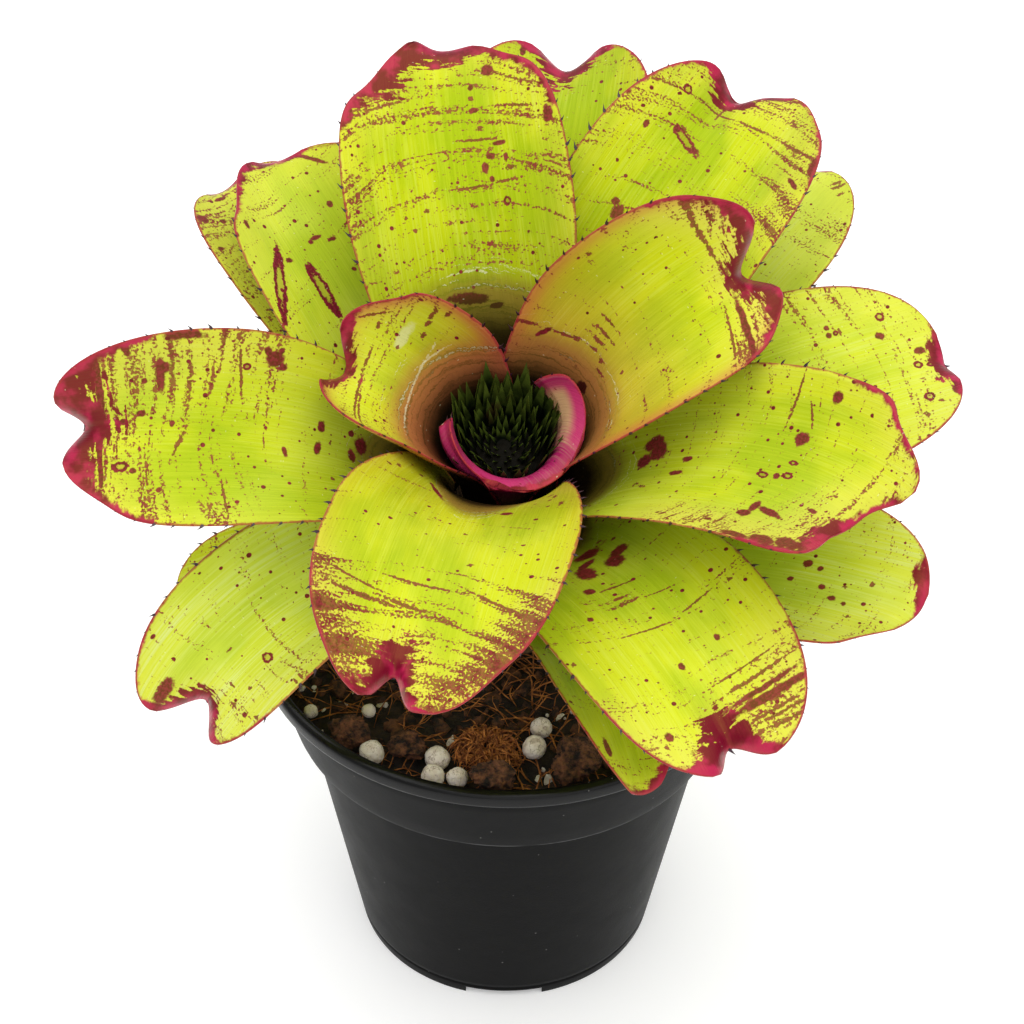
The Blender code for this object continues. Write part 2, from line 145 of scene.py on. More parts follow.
LEAVES = [
    Leaf(  # leaf_01
        303, 74, 48, 30, 34, channel=112, waist=0.6, rounding=0.9, notch_depth=0, notch_width=25,
        roll=3.0, magenta=True, sheath=(6, 0), lines=0.0, smears=0.1, specks=0.2, tip=(-8, 2, 24),
        edge=1.2,
    ),
    Leaf(  # leaf_02
        166, 57, 92, 64, 30.5, twist=-20, sweep=-3, channel=80, notch_at=2, notch_width=6, roll=3.5,
        shoulders=[(-27, 9, 9)], green=0.15, blush=1.0, sheath=(41, 0.012), lines=0.35,
        lines_from=44, slant=-0.1, smears=0.3, specks=0.45, tip=(1, 5.5, 18), edge=1.6,
        spots=[
            (-24, 46, 3, 0.5, -8), (-20, 45.3, 1.1, 0.6), (-16, 44.4, 0.9, 0.5),
            (-26, 43.8, 1.4, 0.4), (-12.3, 55, 1.1, 0.6), (9, 52.2, 14, 0.4, -6),
            (18, 50, 9, 0.35, -8), (-15, 57, 5, 0.4, 50), (-9, 48, 0.7, 0.5),
        ],
        silver=[(-13, 48.2, 5, 1.5), (-3, 38.6, 13, 0.35, -9), (-13, 39, 6, 0.3, 14)],
    ),
    Leaf(  # leaf_03
        24, 53, 87, 104, 32, twist=34, sweep=4, channel=58, notch_at=-4, notch_depth=8,
        notch_width=6, roll=3.5, shoulders=[(-25, 3, 8), (25, 4, 8)], green=0.15, blush=0.65,
        sheath=(46, 0.012), lines=0.35, lines_from=84, slant=0.08, smears=0.9, specks=0.35,
        tip=(-2, 7, 24), edge=3.0,
        spots=[
            (-20, 86.5, 13, 1.1, 14), (14, 89.8, 15, 0.7, -2), (-3, 90.6, 6, 0.6, 3),
            (-19, 82, 12, 0.4, 18), (7.5, 57.3, 3, 0.4), (5.5, 53.9, 4, 0.5), (6.5, 51, 3, 0.7),
            (2, 47.4, 1.3, 0.7), (6, 48.3, 1.6, 0.5, -15), (0, 45, 2, 0.5), (15, 45.3, 6, 0.5, -20),
            (20.5, 42, 3.4, 0.8, -58), (26, 42, 3.5, 0.6, -18), (-5.5, 50.6, 0.5, 0.8),
            (1.5, 37, 2, 1.9), (27, 66.4, 0.7, 0.6), (12, 47, 2, 0.5, -15),
        ],
    ),
    Leaf(  # leaf_04
        258, 42, 101, 137, 33.5, twist=-1, channel=31, waist=0.68, notch_at=-4.5, notch_depth=9.5,
        notch_width=3.8, notch_curl=-2.0, roll=3.0, shoulders=[(25, 5, 8), (-26, 3, 7)], green=0.1,
        pale=0.15, blush=0.15, sheath=(64, 0.13), lines=1.3, lines_from=107, bow=9, smears=0.55,
        tip=(-5, 9, 11), edge=1.4,
        spots=[
            (-18, 111, 11, 0.7, -3), (-6, 109.4, 8, 0.6, 4), (-20, 107, 10, 0.4, 4),
            (-3, 102, 12, 0.45), (17, 105.5, 12, 0.5, 26), (6.5, 92, 0.7, 0.6),
            (2.2, 77.7, 0.6, 0.5), (10, 59.6, 1.6, 1.6), (24.6, 57.4, 0.7, 1.6),
            (21.7, 47, 0.6, 1.4), (20, 43, 0.9, 0.7), (-24, 50.4, 0.6, 0.9), (-26, 54, 0.5, 0.6),
            (-18, 43.6, 0.7, 0.9), (-11.5, 50, 0.9, 7.2, -26),
        ],
        rings=[(-4.6, 124, 1.5, 1.4)],
    ),
    Leaf(  # leaf_05
        103, 33, 52, 131, 34.5, twist=-5, sweep=-8, channel=31, notch_depth=0,
        shoulders=[(24, 8, 8), (31, 4, 6), (-20, 4, 9), (8, -2, 4)], green=0.45, pale=0.05,
        sheath=(57, 0.016), lines=0.75, lines_from=64, bow=-9, smears=0.25, specks=0.75,
        tip=(6, 6, 24), edge=4.5,
        spots=[
            (-12.6, 119.4, 2, 2), (-7.2, 114.6, 0.8, 1.1), (-7.5, 107, 1.5, 0.9),
            (-8.7, 101, 0.8, 0.7), (-7, 111, 0.7, 0.8), (-14, 95.5, 2.2, 0.8), (-11, 92, 1.4, 1.1),
            (-15.5, 91, 0.9, 1.4), (-9, 88.5, 1, 1.7), (-16.5, 87.5, 2, 0.7), (-10.5, 85, 0.8, 1),
            (-15, 83.8, 4, 0.6), (-4, 83.3, 6, 0.5), (9.7, 77.8, 0.7, 0.6), (16.2, 76.2, 0.8, 0.6),
            (13.8, 72.6, 0.6, 0.6), (1, 51.4, 6, 1.6, 5), (-6.8, 48.4, 2, 0.8), (24, 118, 1.8, 2),
            (-30, 100.5, 1.6, 2.6), (30, 107, 1.3, 3), (-8, 97.5, 6, 0.5, 4),
            (-20, 106, 7, 0.5, 14),
        ],
        rings=[(-14.2, 77.8, 1.1, 1.5), (29.7, 111.5, 2, 2.8, 20)],
    ),
    Leaf(  # leaf_06
        341, 37, 50, 133, 31, twist=8, sweep=-26, channel=38, waist=0.52, rounding=0.8,
        notch_depth=0, shoulders=[(26, 9, 7), (1, 8, 8), (-11, 8, 8), (-22, 2, 8), (-30, -7, 6)],
        green=0.35, pale=0.4, sheath=(40, 0.05), lines=0.25, lines_from=70, slant=0.05, bow=-3,
        smears=0.6, smear_side=-0.8, specks=0.8, tip=(-16, 4, 16), edge=3.2,
        spots=[
            (-8, 113.3, 0.9, 1.7), (-0.5, 115, 0.4, 0.9), (4.9, 120.6, 0.5, 0.5), (-1, 96, 1.1, 1),
            (-3.8, 63.3, 0.9, 2.3), (1.2, 64.9, 1, 1.8), (5, 52.6, 3.2, 3.4),
            (8, 50, 2.2, 3.4, -20), (2.6, 48.6, 2.6, 2.6), (-8, 53, 0.6, 1.6, 20),
            (-6.4, 50, 0.5, 1), (11.5, 97, 2.2, 2, 30), (25, 102, 1.6, 1.4), (-14, 103, 1.2, 5, 12),
            (-17, 96.5, 1.6, 2.2), (-27, 112, 2.6, 4.5), (-24, 119, 3, 4.2), (-29, 103, 1.6, 5),
            (-19, 122, 2, 3), (-13.5, 97.5, 2.4, 1.4), (26.4, 118, 1, 6.5, 38),
            (22, 91.5, 8, 0.35, 3), (19, 96.8, 5, 0.35, -22), (-24, 89, 0.9, 1.6),
        ],
        rings=[(0, 99, 1.2, 1.9), (4.2, 98.3, 0.9, 1.5), (-1.7, 91.7, 1.2, 1.9)],
    ),
    Leaf(  # leaf_07
        189, 27, 76, 131, 30, twist=-38, sweep=-9, channel=42, rounding=0.6, notch_at=-2,
        notch_width=5, shoulders=[(24, 7, 9)], green=0.3, pale=0.4, sheath=(45, 0.04), lines=1.0,
        lines_from=78, slant=-0.05, bow=-3, smears=0.5, smear_side=-0.7, specks=1.0,
        tip=(-3, 10, 20), edge=3.6,
        spots=[
            (-2.8, 112.3, 0.8, 1.4), (2, 111.8, 0.5, 1), (11, 109.5, 0.9, 0.9),
            (-5.1, 107.3, 1, 1.3), (-14.2, 106, 0.9, 0.9), (-2.3, 99, 1, 0.8), (17, 102, 0.8, 0.8),
            (-16, 102, 5.5, 1.2), (-18, 101.5, 2, 1.8), (-22.3, 73.3, 2.6, 2.4),
            (-24.5, 75.6, 1.2, 1), (-20.6, 71.3, 1.3, 1.3), (-25, 72, 1, 0.8),
            (3.3, 67.7, 1.5, 0.8, -20), (-6.5, 57.2, 1.7, 1.2), (0.4, 58, 2, 1.1, 12),
            (-2.4, 54, 1, 0.5), (9.7, 53.7, 0.5, 0.5), (0, 47, 2.2, 1.3), (-7, 47.3, 1, 1),
            (-4.4, 44, 3, 2), (-28, 96, 1.5, 5), (-26, 110, 4, 1.2, -10), (-12, 117.5, 12, 1, 2),
            (8, 119, 10, 0.8, -4), (22, 84, 8, 0.4, -8), (3, 97, 4.5, 0.5, 22),
            (-19, 82, 9, 0.4, -8),
        ],
        rings=[(9.7, 113.3, 1.5, 2.6), (-6, 121.5, 2.8, 3.6, -20)],
    ),
    Leaf(  # leaf_08
        53, 30, 60, 145, 35, sweep=4, channel=34, notch_at=8, notch_depth=5, notch_width=6,
        shoulders=[(-24, 3, 8)], green=0.6, pale=0.05, sheath=(52, 0.012), lines=0.9, lines_from=98,
        slant=0.05, bow=-7, smears=0.4, smear_side=-0.4, specks=0.6, tip=(7, 7, 15), edge=2.4,
        spots=[
            (-22, 125.5, 12, 0.6, 15), (-4, 128.9, 8, 0.5, 4), (9, 129.3, 7, 0.4),
            (7.8, 130, 0.4, 3), (22.9, 111.7, 0.8, 1.2), (15, 85, 2, 2.6), (17, 87, 1.3, 1.3),
            (-31, 121, 2, 4, -25), (-27, 115, 3, 0.8, 30), (-15, 134.5, 2.6, 0.6, 40),
            (13, 117.5, 1.8, 0.6, 20),
        ],
        rings=[(10.7, 114.6, 6.9, 1.7, 24), (19.3, 129, 1.6, 1.5)],
    ),
    Leaf(  # leaf_09
        302, 29, 69, 135, 30, twist=2, sweep=-5, channel=22, notch_at=-1, notch_depth=8,
        notch_width=5, green=0.25, pale=0.4, sheath=(36, 0.06), lines_from=112, slant=0.05, bow=-2,
        smears=0.6, smear_side=0.5, specks=0.55, tip=(-3, 10, 14), edge=1.6,
        spots=[
            (15, 129, 10, 0.6, 3), (16, 126.6, 10, 0.5, 2), (12, 125, 9, 0.6),
            (14, 121.2, 12, 1.3, 1), (12, 118.6, 11, 0.8, -2), (13, 114.9, 11, 0.6, -2),
            (12, 111, 11, 0.3, -3), (-15.8, 120.3, 1.3, 1.4), (-18, 122.8, 0.5, 0.6),
            (-2, 102.5, 0.9, 1.4), (10.6, 99.3, 0.8, 1.2), (-27.7, 90.6, 0.8, 0.6),
            (-14, 75.4, 0.9, 1), (23, 87, 0.7, 0.6), (-3, 74.3, 4.4, 0.7), (-2.6, 71.3, 2.5, 0.6),
            (7, 76.5, 4.5, 0.3, 14), (0, 66, 6, 0.4, 9), (-7.5, 63, 1.5, 1.7), (-3.2, 53, 2.9, 4.2),
            (5.6, 54, 2.8, 3.4), (9, 50.5, 3, 2.4), (2.7, 42, 4.2, 2.9), (-1, 48, 3.6, 1.5, -30),
            (11.5, 43, 0.9, 0.8), (-6, 43.5, 1, 1.2), (8.6, 38.6, 0.8, 0.7), (-2, 87, 8, 0.35, 8),
            (12, 86.5, 7, 0.35, -5),
        ],
    ),
    Leaf(  # leaf_10
        130, 29, 46, 121, 33, twist=12, sweep=-9, notch_depth=0, shoulders=[(28, 12, 9)], pale=0.6,
        sheath=(45, 0.01), lines=0.5, lines_from=78, slant=-0.3, bow=0, specks=0.7,
        tip=(6, 2.5, 22), edge=1.6,
        spots=[
            (-9, 116.3, 0.8, 6, -42), (-6.4, 98.8, 0.9, 1.4), (-0.8, 88, 1.6, 0.8),
            (3.5, 90.4, 2, 0.8), (6, 89.6, 0.9, 0.8), (16.5, 86, 1.2, 0.9), (25, 98.5, 0.8, 1.3),
            (31, 96, 1, 0.9), (-1.6, 76.8, 0.8, 0.8), (23, 111.5, 1.6, 1),
        ],
        rings=[(11.4, 75, 2.1, 9.4), (24.8, 80.5, 12.8, 1.9, -56)],
    ),
    Leaf(  # leaf_11
        6, 28, 48, 132, 35, twist=-4, sweep=9, channel=22, notch_depth=0.6, notch_width=3,
        notch_curl=-0.5, green=0.3, pale=0.6, scurf=0.4, sheath=(48, 0.01), lines=0.5,
        lines_from=80, bow=-5, smears=0.3, specks=0.75, tip=(-2, 5.5, 16), edge=1.0,
        spots=[
            (-13.8, 129.6, 2.6, 1.4), (-16, 124, 0.7, 0.8), (4.8, 125.4, 1.2, 1.7),
            (17.7, 102, 1, 0.8), (20.2, 102, 0.9, 0.8), (13, 116, 1.2, 1.6, 30),
            (17.6, 105.4, 1.4, 0.4), (2, 129.5, 3.6, 0.5, -20), (-20, 119, 1.2, 0.7),
        ],
        rings=[(-13, 121.8, 2, 1.5), (0.3, 123.2, 1.4, 1.3), (18.8, 118, 1.6, 1.2)],
    ),
    Leaf(  # leaf_12
        214.5, 10, 112, 116, 25, twist=-26, sweep=8, channel=48, notch_at=4, notch_depth=9,
        notch_width=6, shoulders=[(-22, 3, 7)], green=0.5, pale=0.85, scurf=0.85, sheath=(38, 0.02),
        lines=0.15, smears=0.3, smear_side=1, specks=0.6, tip=(2, 7, 15), edge=1.6,
        spots=[
            (-7.5, 109, 2.2, 4.5), (0, 88.3, 0.5, 1), (12.5, 91.5, 0.6, 0.6), (12, 98.6, 1, 0.6),
            (22, 78, 2.2, 0.5), (22.4, 80, 1.8, 0.4), (7.6, 95, 0.9, 0.5), (21, 95.6, 0.8, 0.6),
            (17, 98, 0.9, 0.8),
        ],
        rings=[(9.7, 81.7, 1.6, 1.6)],
    ),
    Leaf(  # leaf_13
        83, 25, 62, 153, 34, twist=-6, channel=36, notch_depth=4, notch_width=7, green=1.0,
        pale=0.0, lines=0.1, smears=0.15, specks=0.8, tip=(0, 12, 16), edge=2.0,
        spots=[(13, 150.7, 1.2, 1.5), (13.7, 147, 1, 2)],
    ),
    Leaf(  # leaf_14
        293.5, 28, 50, 112, 18, twist=-12, sweep=-9, channel=40, rounding=0.5, notch_depth=0,
        shoulders=[(13, 7, 8)], green=0.7, lines=0.1, smears=0.15, tip=(2, 2.6, 10), edge=1.0,
        spots=[(-9, 99, 1.2, 3), (6, 101.5, 1.2, 2)],
    ),
    Leaf(  # leaf_15
        132, 28, 58, 131, 26, twist=4, channel=34, notch_depth=0, green=0.45, pale=0.4, lines=0.5,
        lines_from=80, smears=0.5, smear_side=1, specks=1.0, tip=(0, 1.5, 10), edge=0.7,
        spots=[
            (17, 120, 2.2, 1.6, 30), (5, 126, 2.2, 0.8), (11, 117.5, 1, 0.9), (20, 108, 1.2, 0.9),
            (13, 104, 0.8, 0.8),
        ],
    ),
    Leaf(  # leaf_16
        50, 25, 55, 146, 34, twist=6, notch_depth=2, notch_curl=-1.5, pale=0.9, scurf=0.4,
        lines=0.25, lines_from=120, specks=0.7, tip=(0, 3, 9), edge=0.6,
        spots=[
            (-15, 140.5, 0.7, 2.4, 35), (-13.5, 141.5, 0.6, 1.6, 35), (-17.5, 138, 0.6, 1.2, 35),
        ],
    ),
    Leaf(  # leaf_17
        112, 17, 55, 120, 30, green=0.6, scurf=0.4, lines=0.3,
    ),
    Leaf(  # leaf_18
        335, 34, 49, 129, 29, twist=-2, sweep=-2, channel=34, notch_at=7, notch_depth=0,
        shoulders=[(-17, 8, 11)], green=0.5, pale=0.8, scurf=0.7, lines=0.15, smears=0.25,
        specks=0.6, tip=(8, 4, 9), edge=1.0,
        spots=[
            (-4.7, 109, 0.9, 0.8), (1, 107, 0.6, 0.6), (-3.8, 105, 1, 1.2), (-0.8, 101, 1, 1.2),
            (5, 98, 0.9, 0.9), (6, 94, 1.2, 1.4), (0, 91, 0.8, 0.9), (-9, 112, 0.7, 0.7),
            (4, 114, 0.7, 0.6),
        ],
    ),
    Leaf(  # leaf_19
        196, 10, 60, 82, 24, green=0.6, scurf=0.5, lines=0.25,
    ),
]


# ---------------------------------------------------------------- modelling helpers

STRAND_SIDES = 3
STRAND_END = 0.35


def deselect_all():
    bpy.ops.object.select_all(action="DESELECT")


def select_only(thing):
    deselect_all()
    thing.select_set(True)
    bpy.context.view_layer.objects.active = thing


def apply_place(thing):
    """Puts a new primitive's place and size in its mesh."""
    select_only(thing)
    bpy.ops.object.transform_apply(location=True, rotation=True, scale=True)


def apply_modifier(thing, kind, **settings):
    select_only(thing)
    modifier = thing.modifiers.new(kind.lower(), kind)
    for name, value in settings.items():
        setattr(modifier, name, value)
    bpy.ops.object.modifier_apply(modifier=modifier.name)


def mesh_object(name, verts, faces):
    """A new object of vertices in millimetres, in the pot's frame."""
    mesh = bpy.data.meshes.new(name)
    mesh.from_pydata([(Vector(v) + POT_CENTRE) * MM for v in verts], [], faces)
    mesh.update()
    thing = bpy.data.objects.new(name, mesh)
    bpy.context.collection.objects.link(thing)
    return thing


def finish_piece(thing, materials, node_names, smooth_angle=None):
    """Shades a piece, gives it its materials, and lets it stand for nodes of the frame."""
    select_only(thing)
    if smooth_angle is None:
        bpy.ops.object.shade_smooth()
    else:
        bpy.ops.object.shade_smooth_by_angle(angle=math.radians(smooth_angle))
    thing.data.materials.clear()
    for look in materials:
        thing.data.materials.append(look)
    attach(thing, "root")
    if node_names:
        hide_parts(*node_names)
    return thing


def turned(name, rings, sides):
    """Turns a closed shell about the pot's axis.

    A circle is extruded from ring to ring, each (radius, height).
    """
    deselect_all()
    radius, height = rings[0]
    centre = POT_CENTRE * MM
    foot = centre + Vector((0, 0, height * MM))
    bpy.ops.mesh.primitive_circle_add(
        vertices=sides, radius=radius * MM, fill_type="NGON", location=foot
    )
    thing = bpy.context.object
    thing.name = name
    apply_place(thing)
    bpy.ops.object.mode_set(mode="EDIT")
    bpy.ops.mesh.select_all(action="SELECT")
    for (low_r, low_h), (high_r, high_h) in zip(rings, rings[1:]):
        bpy.ops.mesh.extrude_region_move()
        if high_h != low_h:
            bpy.ops.transform.translate(value=(0, 0, (high_h - low_h) * MM))
        if high_r != low_r:
            scale = high_r / low_r
            middle = centre + Vector((0, 0, high_h * MM))
            bpy.ops.transform.resize(value=(scale, scale, 1.0), center_override=middle)
    bpy.ops.mesh.select_all(action="SELECT")
    bpy.ops.mesh.normals_make_consistent(inside=False)
    bpy.ops.object.mode_set(mode="OBJECT")
    return thing


def arc(centre, radius, start, end, steps):
    """Points of a rounded corner in a half section, from start to end degrees about its centre."""
    points = []
    for step in range(steps + 1):
        angle = math.radians(start + (end - start) * step / steps)
        points.append((centre[0] + radius * math.cos(angle), centre[1] + radius * math.sin(angle)))
    return points


def take_template(thing):
    """Vertices and faces of a model that is only there to be copied; the model is removed."""
    verts = [vert.co.copy() for vert in thing.data.vertices]
    faces = [tuple(face.vertices) for face in thing.data.polygons]
    bpy.data.objects.remove(thing, do_unlink=True)
    return verts, faces


def ball_template(subdivisions):
    """Vertices and faces of a ball of radius 1."""
    deselect_all()
    bpy.ops.mesh.primitive_ico_sphere_add(subdivisions=subdivisions, radius=1.0)
    return take_template(bpy.context.object)


def gather(name, parts):
    """Joins copies, each (vertices, faces), in one object."""
    verts = []
    faces = []
    for part_verts, part_faces in parts:
        start = len(verts)
        verts += part_verts
        faces += [tuple(index + start for index in face) for face in part_faces]
    return mesh_object(name, verts, faces)


def tube_faces(rings, sides):
    """Faces of a closed tube whose vertices run round each ring in turn."""
    faces = [tuple(range(sides - 1, -1, -1))]
    for ring in range(rings - 1):
        for corner in range(sides):
            a = ring * sides + corner
            b = ring * sides + (corner + 1) % sides
            faces.append((a, b, b + sides, a + sides))
    last = (rings - 1) * sides
    faces.append(tuple(range(last, last + sides)))
    return faces


def strand(points, radius):
    """Vertices and faces of a thin closed strand along points, narrower at its two ends."""
    verts = []
    for index, point in enumerate(points):
        ahead = points[min(index + 1, len(points) - 1)] - points[max(index - 1, 0)]
        side = ahead.orthogonal().normalized()
        other = ahead.normalized().cross(side)
        taper = STRAND_END if index in (0, len(points) - 1) else 1.0
        for corner in range(STRAND_SIDES):
            angle = math.tau * corner / STRAND_SIDES
            away = side * math.cos(angle) + other * math.sin(angle)
            verts.append(point + away * radius * taper)
    return verts, tube_faces(len(points), STRAND_SIDES)


# ---------------------------------------------------------------- material helpers

# Sockets that hold colours on a Mix node, which has one set for each kind of value.
MIX_UNDER = 6
MIX_OVER = 7
MIX_COLOUR = 2


class Look:
    """A node material being put together, from numbers, colours and other nodes' sockets."""

    def __init__(self, name):
        self.material = bpy.data.materials.new(name)
        self.material.use_nodes = True
        self.tree = self.material.node_tree
        self.shader = self.tree.nodes["Principled BSDF"]

    def put(self, socket, value):
        if isinstance(value, bpy.types.NodeSocket):
            self.tree.links.new(value, socket)
        elif isinstance(socket.default_value, (float, int)):
            socket.default_value = value
        elif len(socket.default_value) == 4 and len(value) == 3:
            socket.default_value = (*value, 1.0)
        else:
            socket.default_value = value

    def add(self, kind, *values, **settings):
        node = self.tree.nodes.new("ShaderNode" + kind)
        for name, value in settings.items():
            setattr(node, name, value)
        for socket, value in zip(node.inputs, values):
            if value is not None:
                self.put(socket, value)
        return node

    def math(self, operation, a, b=0.0, clamp=False):
        return self.add("Math", a, b, operation=operation, use_clamp=clamp).outputs[0]

    def times(self, a, b, clamp=False):
        return self.math("MULTIPLY", a, b, clamp)

    def plus(self, a, b):
        return self.math("ADD", a, b)

    def minus(self, a, b, clamp=False):
        return self.math("SUBTRACT", a, b, clamp)

    def scaled(self, value, factor, extra):
        """A value times a factor, plus an extra value."""
        return self.add("Math", value, factor, extra, operation="MULTIPLY_ADD").outputs[0]

    def step(self, value, low, high):
        """0 below low and 1 above high, or the other way round where low is the greater."""
        node = self.add("MapRange", value, interpolation_type="SMOOTHSTEP")
        flip = low > high
        self.put(node.inputs["From Min"], high if flip else low)
        self.put(node.inputs["From Max"], low if flip else high)
        self.put(node.inputs["To Min"], 1.0 if flip else 0.0)
        self.put(node.inputs["To Max"], 0.0 if flip else 1.0)
        return node.outputs[0]

    def mix(self, share, under, over):
        node = self.add("Mix", data_type="RGBA", clamp_factor=True)
        self.put(node.inputs["Factor"], share)
        self.put(node.inputs[MIX_UNDER], under)
        self.put(node.inputs[MIX_OVER], over)
        return node.outputs[MIX_COLOUR]

    def tint(self, mask, strength, under, over):
        """Lays a colour over another, at a strength, where a mask says."""
        return self.mix(self.times(mask, strength), under, over)

    def vector(self, operation, a, b):
        return self.add("VectorMath", a, b, operation=operation).outputs[0]

    def noise(self, place, scale=1.0, detail=2.0, roughness=0.5):
        node = self.add("TexNoise", place)
        self.put(node.inputs["Scale"], scale)
        self.put(node.inputs["Detail"], detail)
        self.put(node.inputs["Roughness"], roughness)
        return node.outputs["Fac"]

    def cells(self, place, scale):
        """Distance to the nearest of scattered points, and two random numbers for that point."""
        node = self.add("TexVoronoi", place)
        self.put(node.inputs["Scale"], scale)
        pick = self.add("SeparateColor", node.outputs["Color"])
        return node.outputs["Distance"], pick.outputs[0], pick.outputs[1]

    def object_place(self):
        return self.add("TexCoord").outputs["Object"]

    def attribute(self, name):
        return self.add("Attribute", attribute_name=name).outputs["Fac"]

    def bump(self, height, distance, strength=1.0):
        node = self.add("Bump")
        self.put(node.inputs["Strength"], strength)
        self.put(node.inputs["Distance"], distance)
        self.put(node.inputs["Height"], height)
        return node.outputs[0]

    def surface(self, colour, roughness, normal=None, **values):
        """Joins the look to its shader; further inputs are given by name, with _ for a space."""
        self.put(self.shader.inputs["Base Color"], colour)
        self.put(self.shader.inputs["Roughness"], roughness)
        if normal is not None:
            self.put(self.shader.inputs["Normal"], normal)
        for name, value in values.items():
            self.put(self.shader.inputs[name.replace("_", " ")], value)
        return self.material


# ---------------------------------------------------------------- leaves


def ease(low, high, value):
    t = min(max((value - low) / (high - low), 0.0), 1.0)
    return t * t * (3.0 - 2.0 * t)


def leaf_base(order):
    return INNER_BASE_R + BASE_R_SPREAD * order**BASE_R_POWER, INNER_BASE_H - BASE_H_STEP * order


def along(leaf, part):
    """A leaf's lift, sweep, half-width and twist at a part of its length, 0 at its base."""
    free_lift = leaf.lift + leaf.arch * (ARCH_CENTRE - part)
    base_lift = leaf.lift + leaf.arch * ARCH_CENTRE
    lift = free_lift + (SHEATH_LIFT - base_lift) * math.exp(-part / SHEATH_FADE)
    sweep = leaf.sweep * SWEEP_GAIN * max(part - CURVE_FROM, 0.0) ** SWEEP_POWER
    width = leaf.half_width * (leaf.waist + (1.0 - leaf.waist) * ease(*WIDEN, part))
    tip = max(part - leaf.rounding, 0.0) / (1.0 - leaf.rounding)
    width *= (1.0 - TIP_BLUNTNESS * tip**ROUND_POWER) ** (1.0 / ROUND_POWER)
    twist = leaf.twist * ease(CURVE_FROM, 1.0, part)
    return math.radians(lift), math.radians(sweep), width, math.radians(twist)


def heading(lift, sweep):
    level = math.cos(lift)
    return Vector((level * math.cos(sweep), level * math.sin(sweep), math.sin(lift)))


def leaf_part(share):
    return (1.0 - TIP_CROWDING) * share + TIP_CROWDING * math.sin(math.pi / 2 * share)


def leaf_sections(leaf, order):
    """A leaf's cross-sections: part, centre, lateral, upper normal, half-width, bend radius."""
    base_r, base_h = leaf_base(order)
    centre = Vector((base_r, 0.0, base_h))
    sections = []
    last = 0.0
    for row in range(LEAF_ROWS + 1):
        part = leaf_part(row / LEAF_ROWS)
        if row:
            lift, sweep, _, _ = along(leaf, (part + last) / 2)
            centre = centre + heading(lift, sweep) * leaf.length * (part - last)
            last = part
        lift, sweep, width, twist = along(leaf, part)
        level = Vector((-math.sin(sweep), math.cos(sweep), 0.0))
        upper = heading(lift, sweep).cross(level)
        lateral = level * math.cos(twist) + upper * math.sin(twist)
        upper = upper * math.cos(twist) - level * math.sin(twist)
        wrap = min(width / math.hypot(centre.x, centre.y), WIDEST_WRAP)
        blend = ease(SHEATH_LENGTH / leaf.length, FLATTEN_TO, part)
        half_angle = math.radians(leaf.channel) * blend + wrap * (1.0 - blend)
        sections.append((part, centre, lateral, upper, width, width / half_angle))
    return sections


def section_at(sections, part):
    """The section at any part of the length, between two of the made ones."""
    parts = [section[0] for section in sections]
    row = min(max(int(np.searchsorted(parts, part)), 1), LEAF_ROWS)
    low, high = sections[row - 1], sections[row]
    t = (part - low[0]) / (high[0] - low[0])
    return [a + (b - a) * t for a, b in zip(low[1:], high[1:])]


def hump(across, at, width):
    return math.exp(-(((across - at) / width) ** 2))


def tip_recess(leaf, across, share):
    """How far notch and shoulders draw the tip's edge back here, and how much of a notch it is."""
    felt = ease(CUT_FROM, 1.0, share)
    notch = hump(across, leaf.notch_at, leaf.notch_width) * felt if leaf.notch_depth else 0.0
    recess = notch * leaf.notch_depth
    for at, depth, width in leaf.shoulders:
        recess += depth * hump(across, at, width) * felt
    return recess, notch


def leaf_points(leaf, order):
    """Grid of (point, distance across, distance along) of a leaf's middle surface."""
    sections = leaf_sections(leaf, order)
    rows = []
    for row in range(LEAF_ROWS + 1):
        share = row / LEAF_ROWS
        part, _, _, _, width, _ = sections[row]
        line = []
        for column in range(LEAF_COLUMNS + 1):
            across = width * (2.0 * column / LEAF_COLUMNS - 1.0)
            recess, notch = tip_recess(leaf, across, share)
            place = part - recess / leaf.length
            centre, lateral, upper, _, bend_r = section_at(sections, min(place, 1.0))
            if place > 1.0:
                centre = centre + upper.cross(lateral) * (1.0 - place) * leaf.length
            angle = across / bend_r
            point = centre + lateral * bend_r * math.sin(angle)
            point = point + upper * bend_r * (1.0 - math.cos(angle))
            run = part * leaf.length
            seed = order * LEAF_SEED_STEP
            wave = WAVE_HEIGHT * noise.noise(Vector((across / WAVE_ACROSS, run / WAVE_ALONG, seed)))
            wave *= ease(*WAVE_RISE, part)
            wave *= WAVE_AT_MIDRIB + abs(across) / leaf.half_width
            inward = (1.0 - part) * leaf.length
            near = hump(across, leaf.notch_at, LIP_REACH * leaf.notch_width)
            lip = (LIP_CURL + leaf.roll * near) * max(1.0 - inward / LIP_WIDTH, 0.0) ** 2
            lifted = leaf.notch_curl * notch + wave - lip
            line.append((point + upper * lifted, across, place * leaf.length))
        rows.append(line)
    return rows


def outline_distance(points, edge):
    """Distance of each point to the nearest point of an edge."""
    gaps = points[:, None, :] - edge[None, :, :]
    return np.sqrt((gaps**2).sum(axis=2)).min(axis=1)


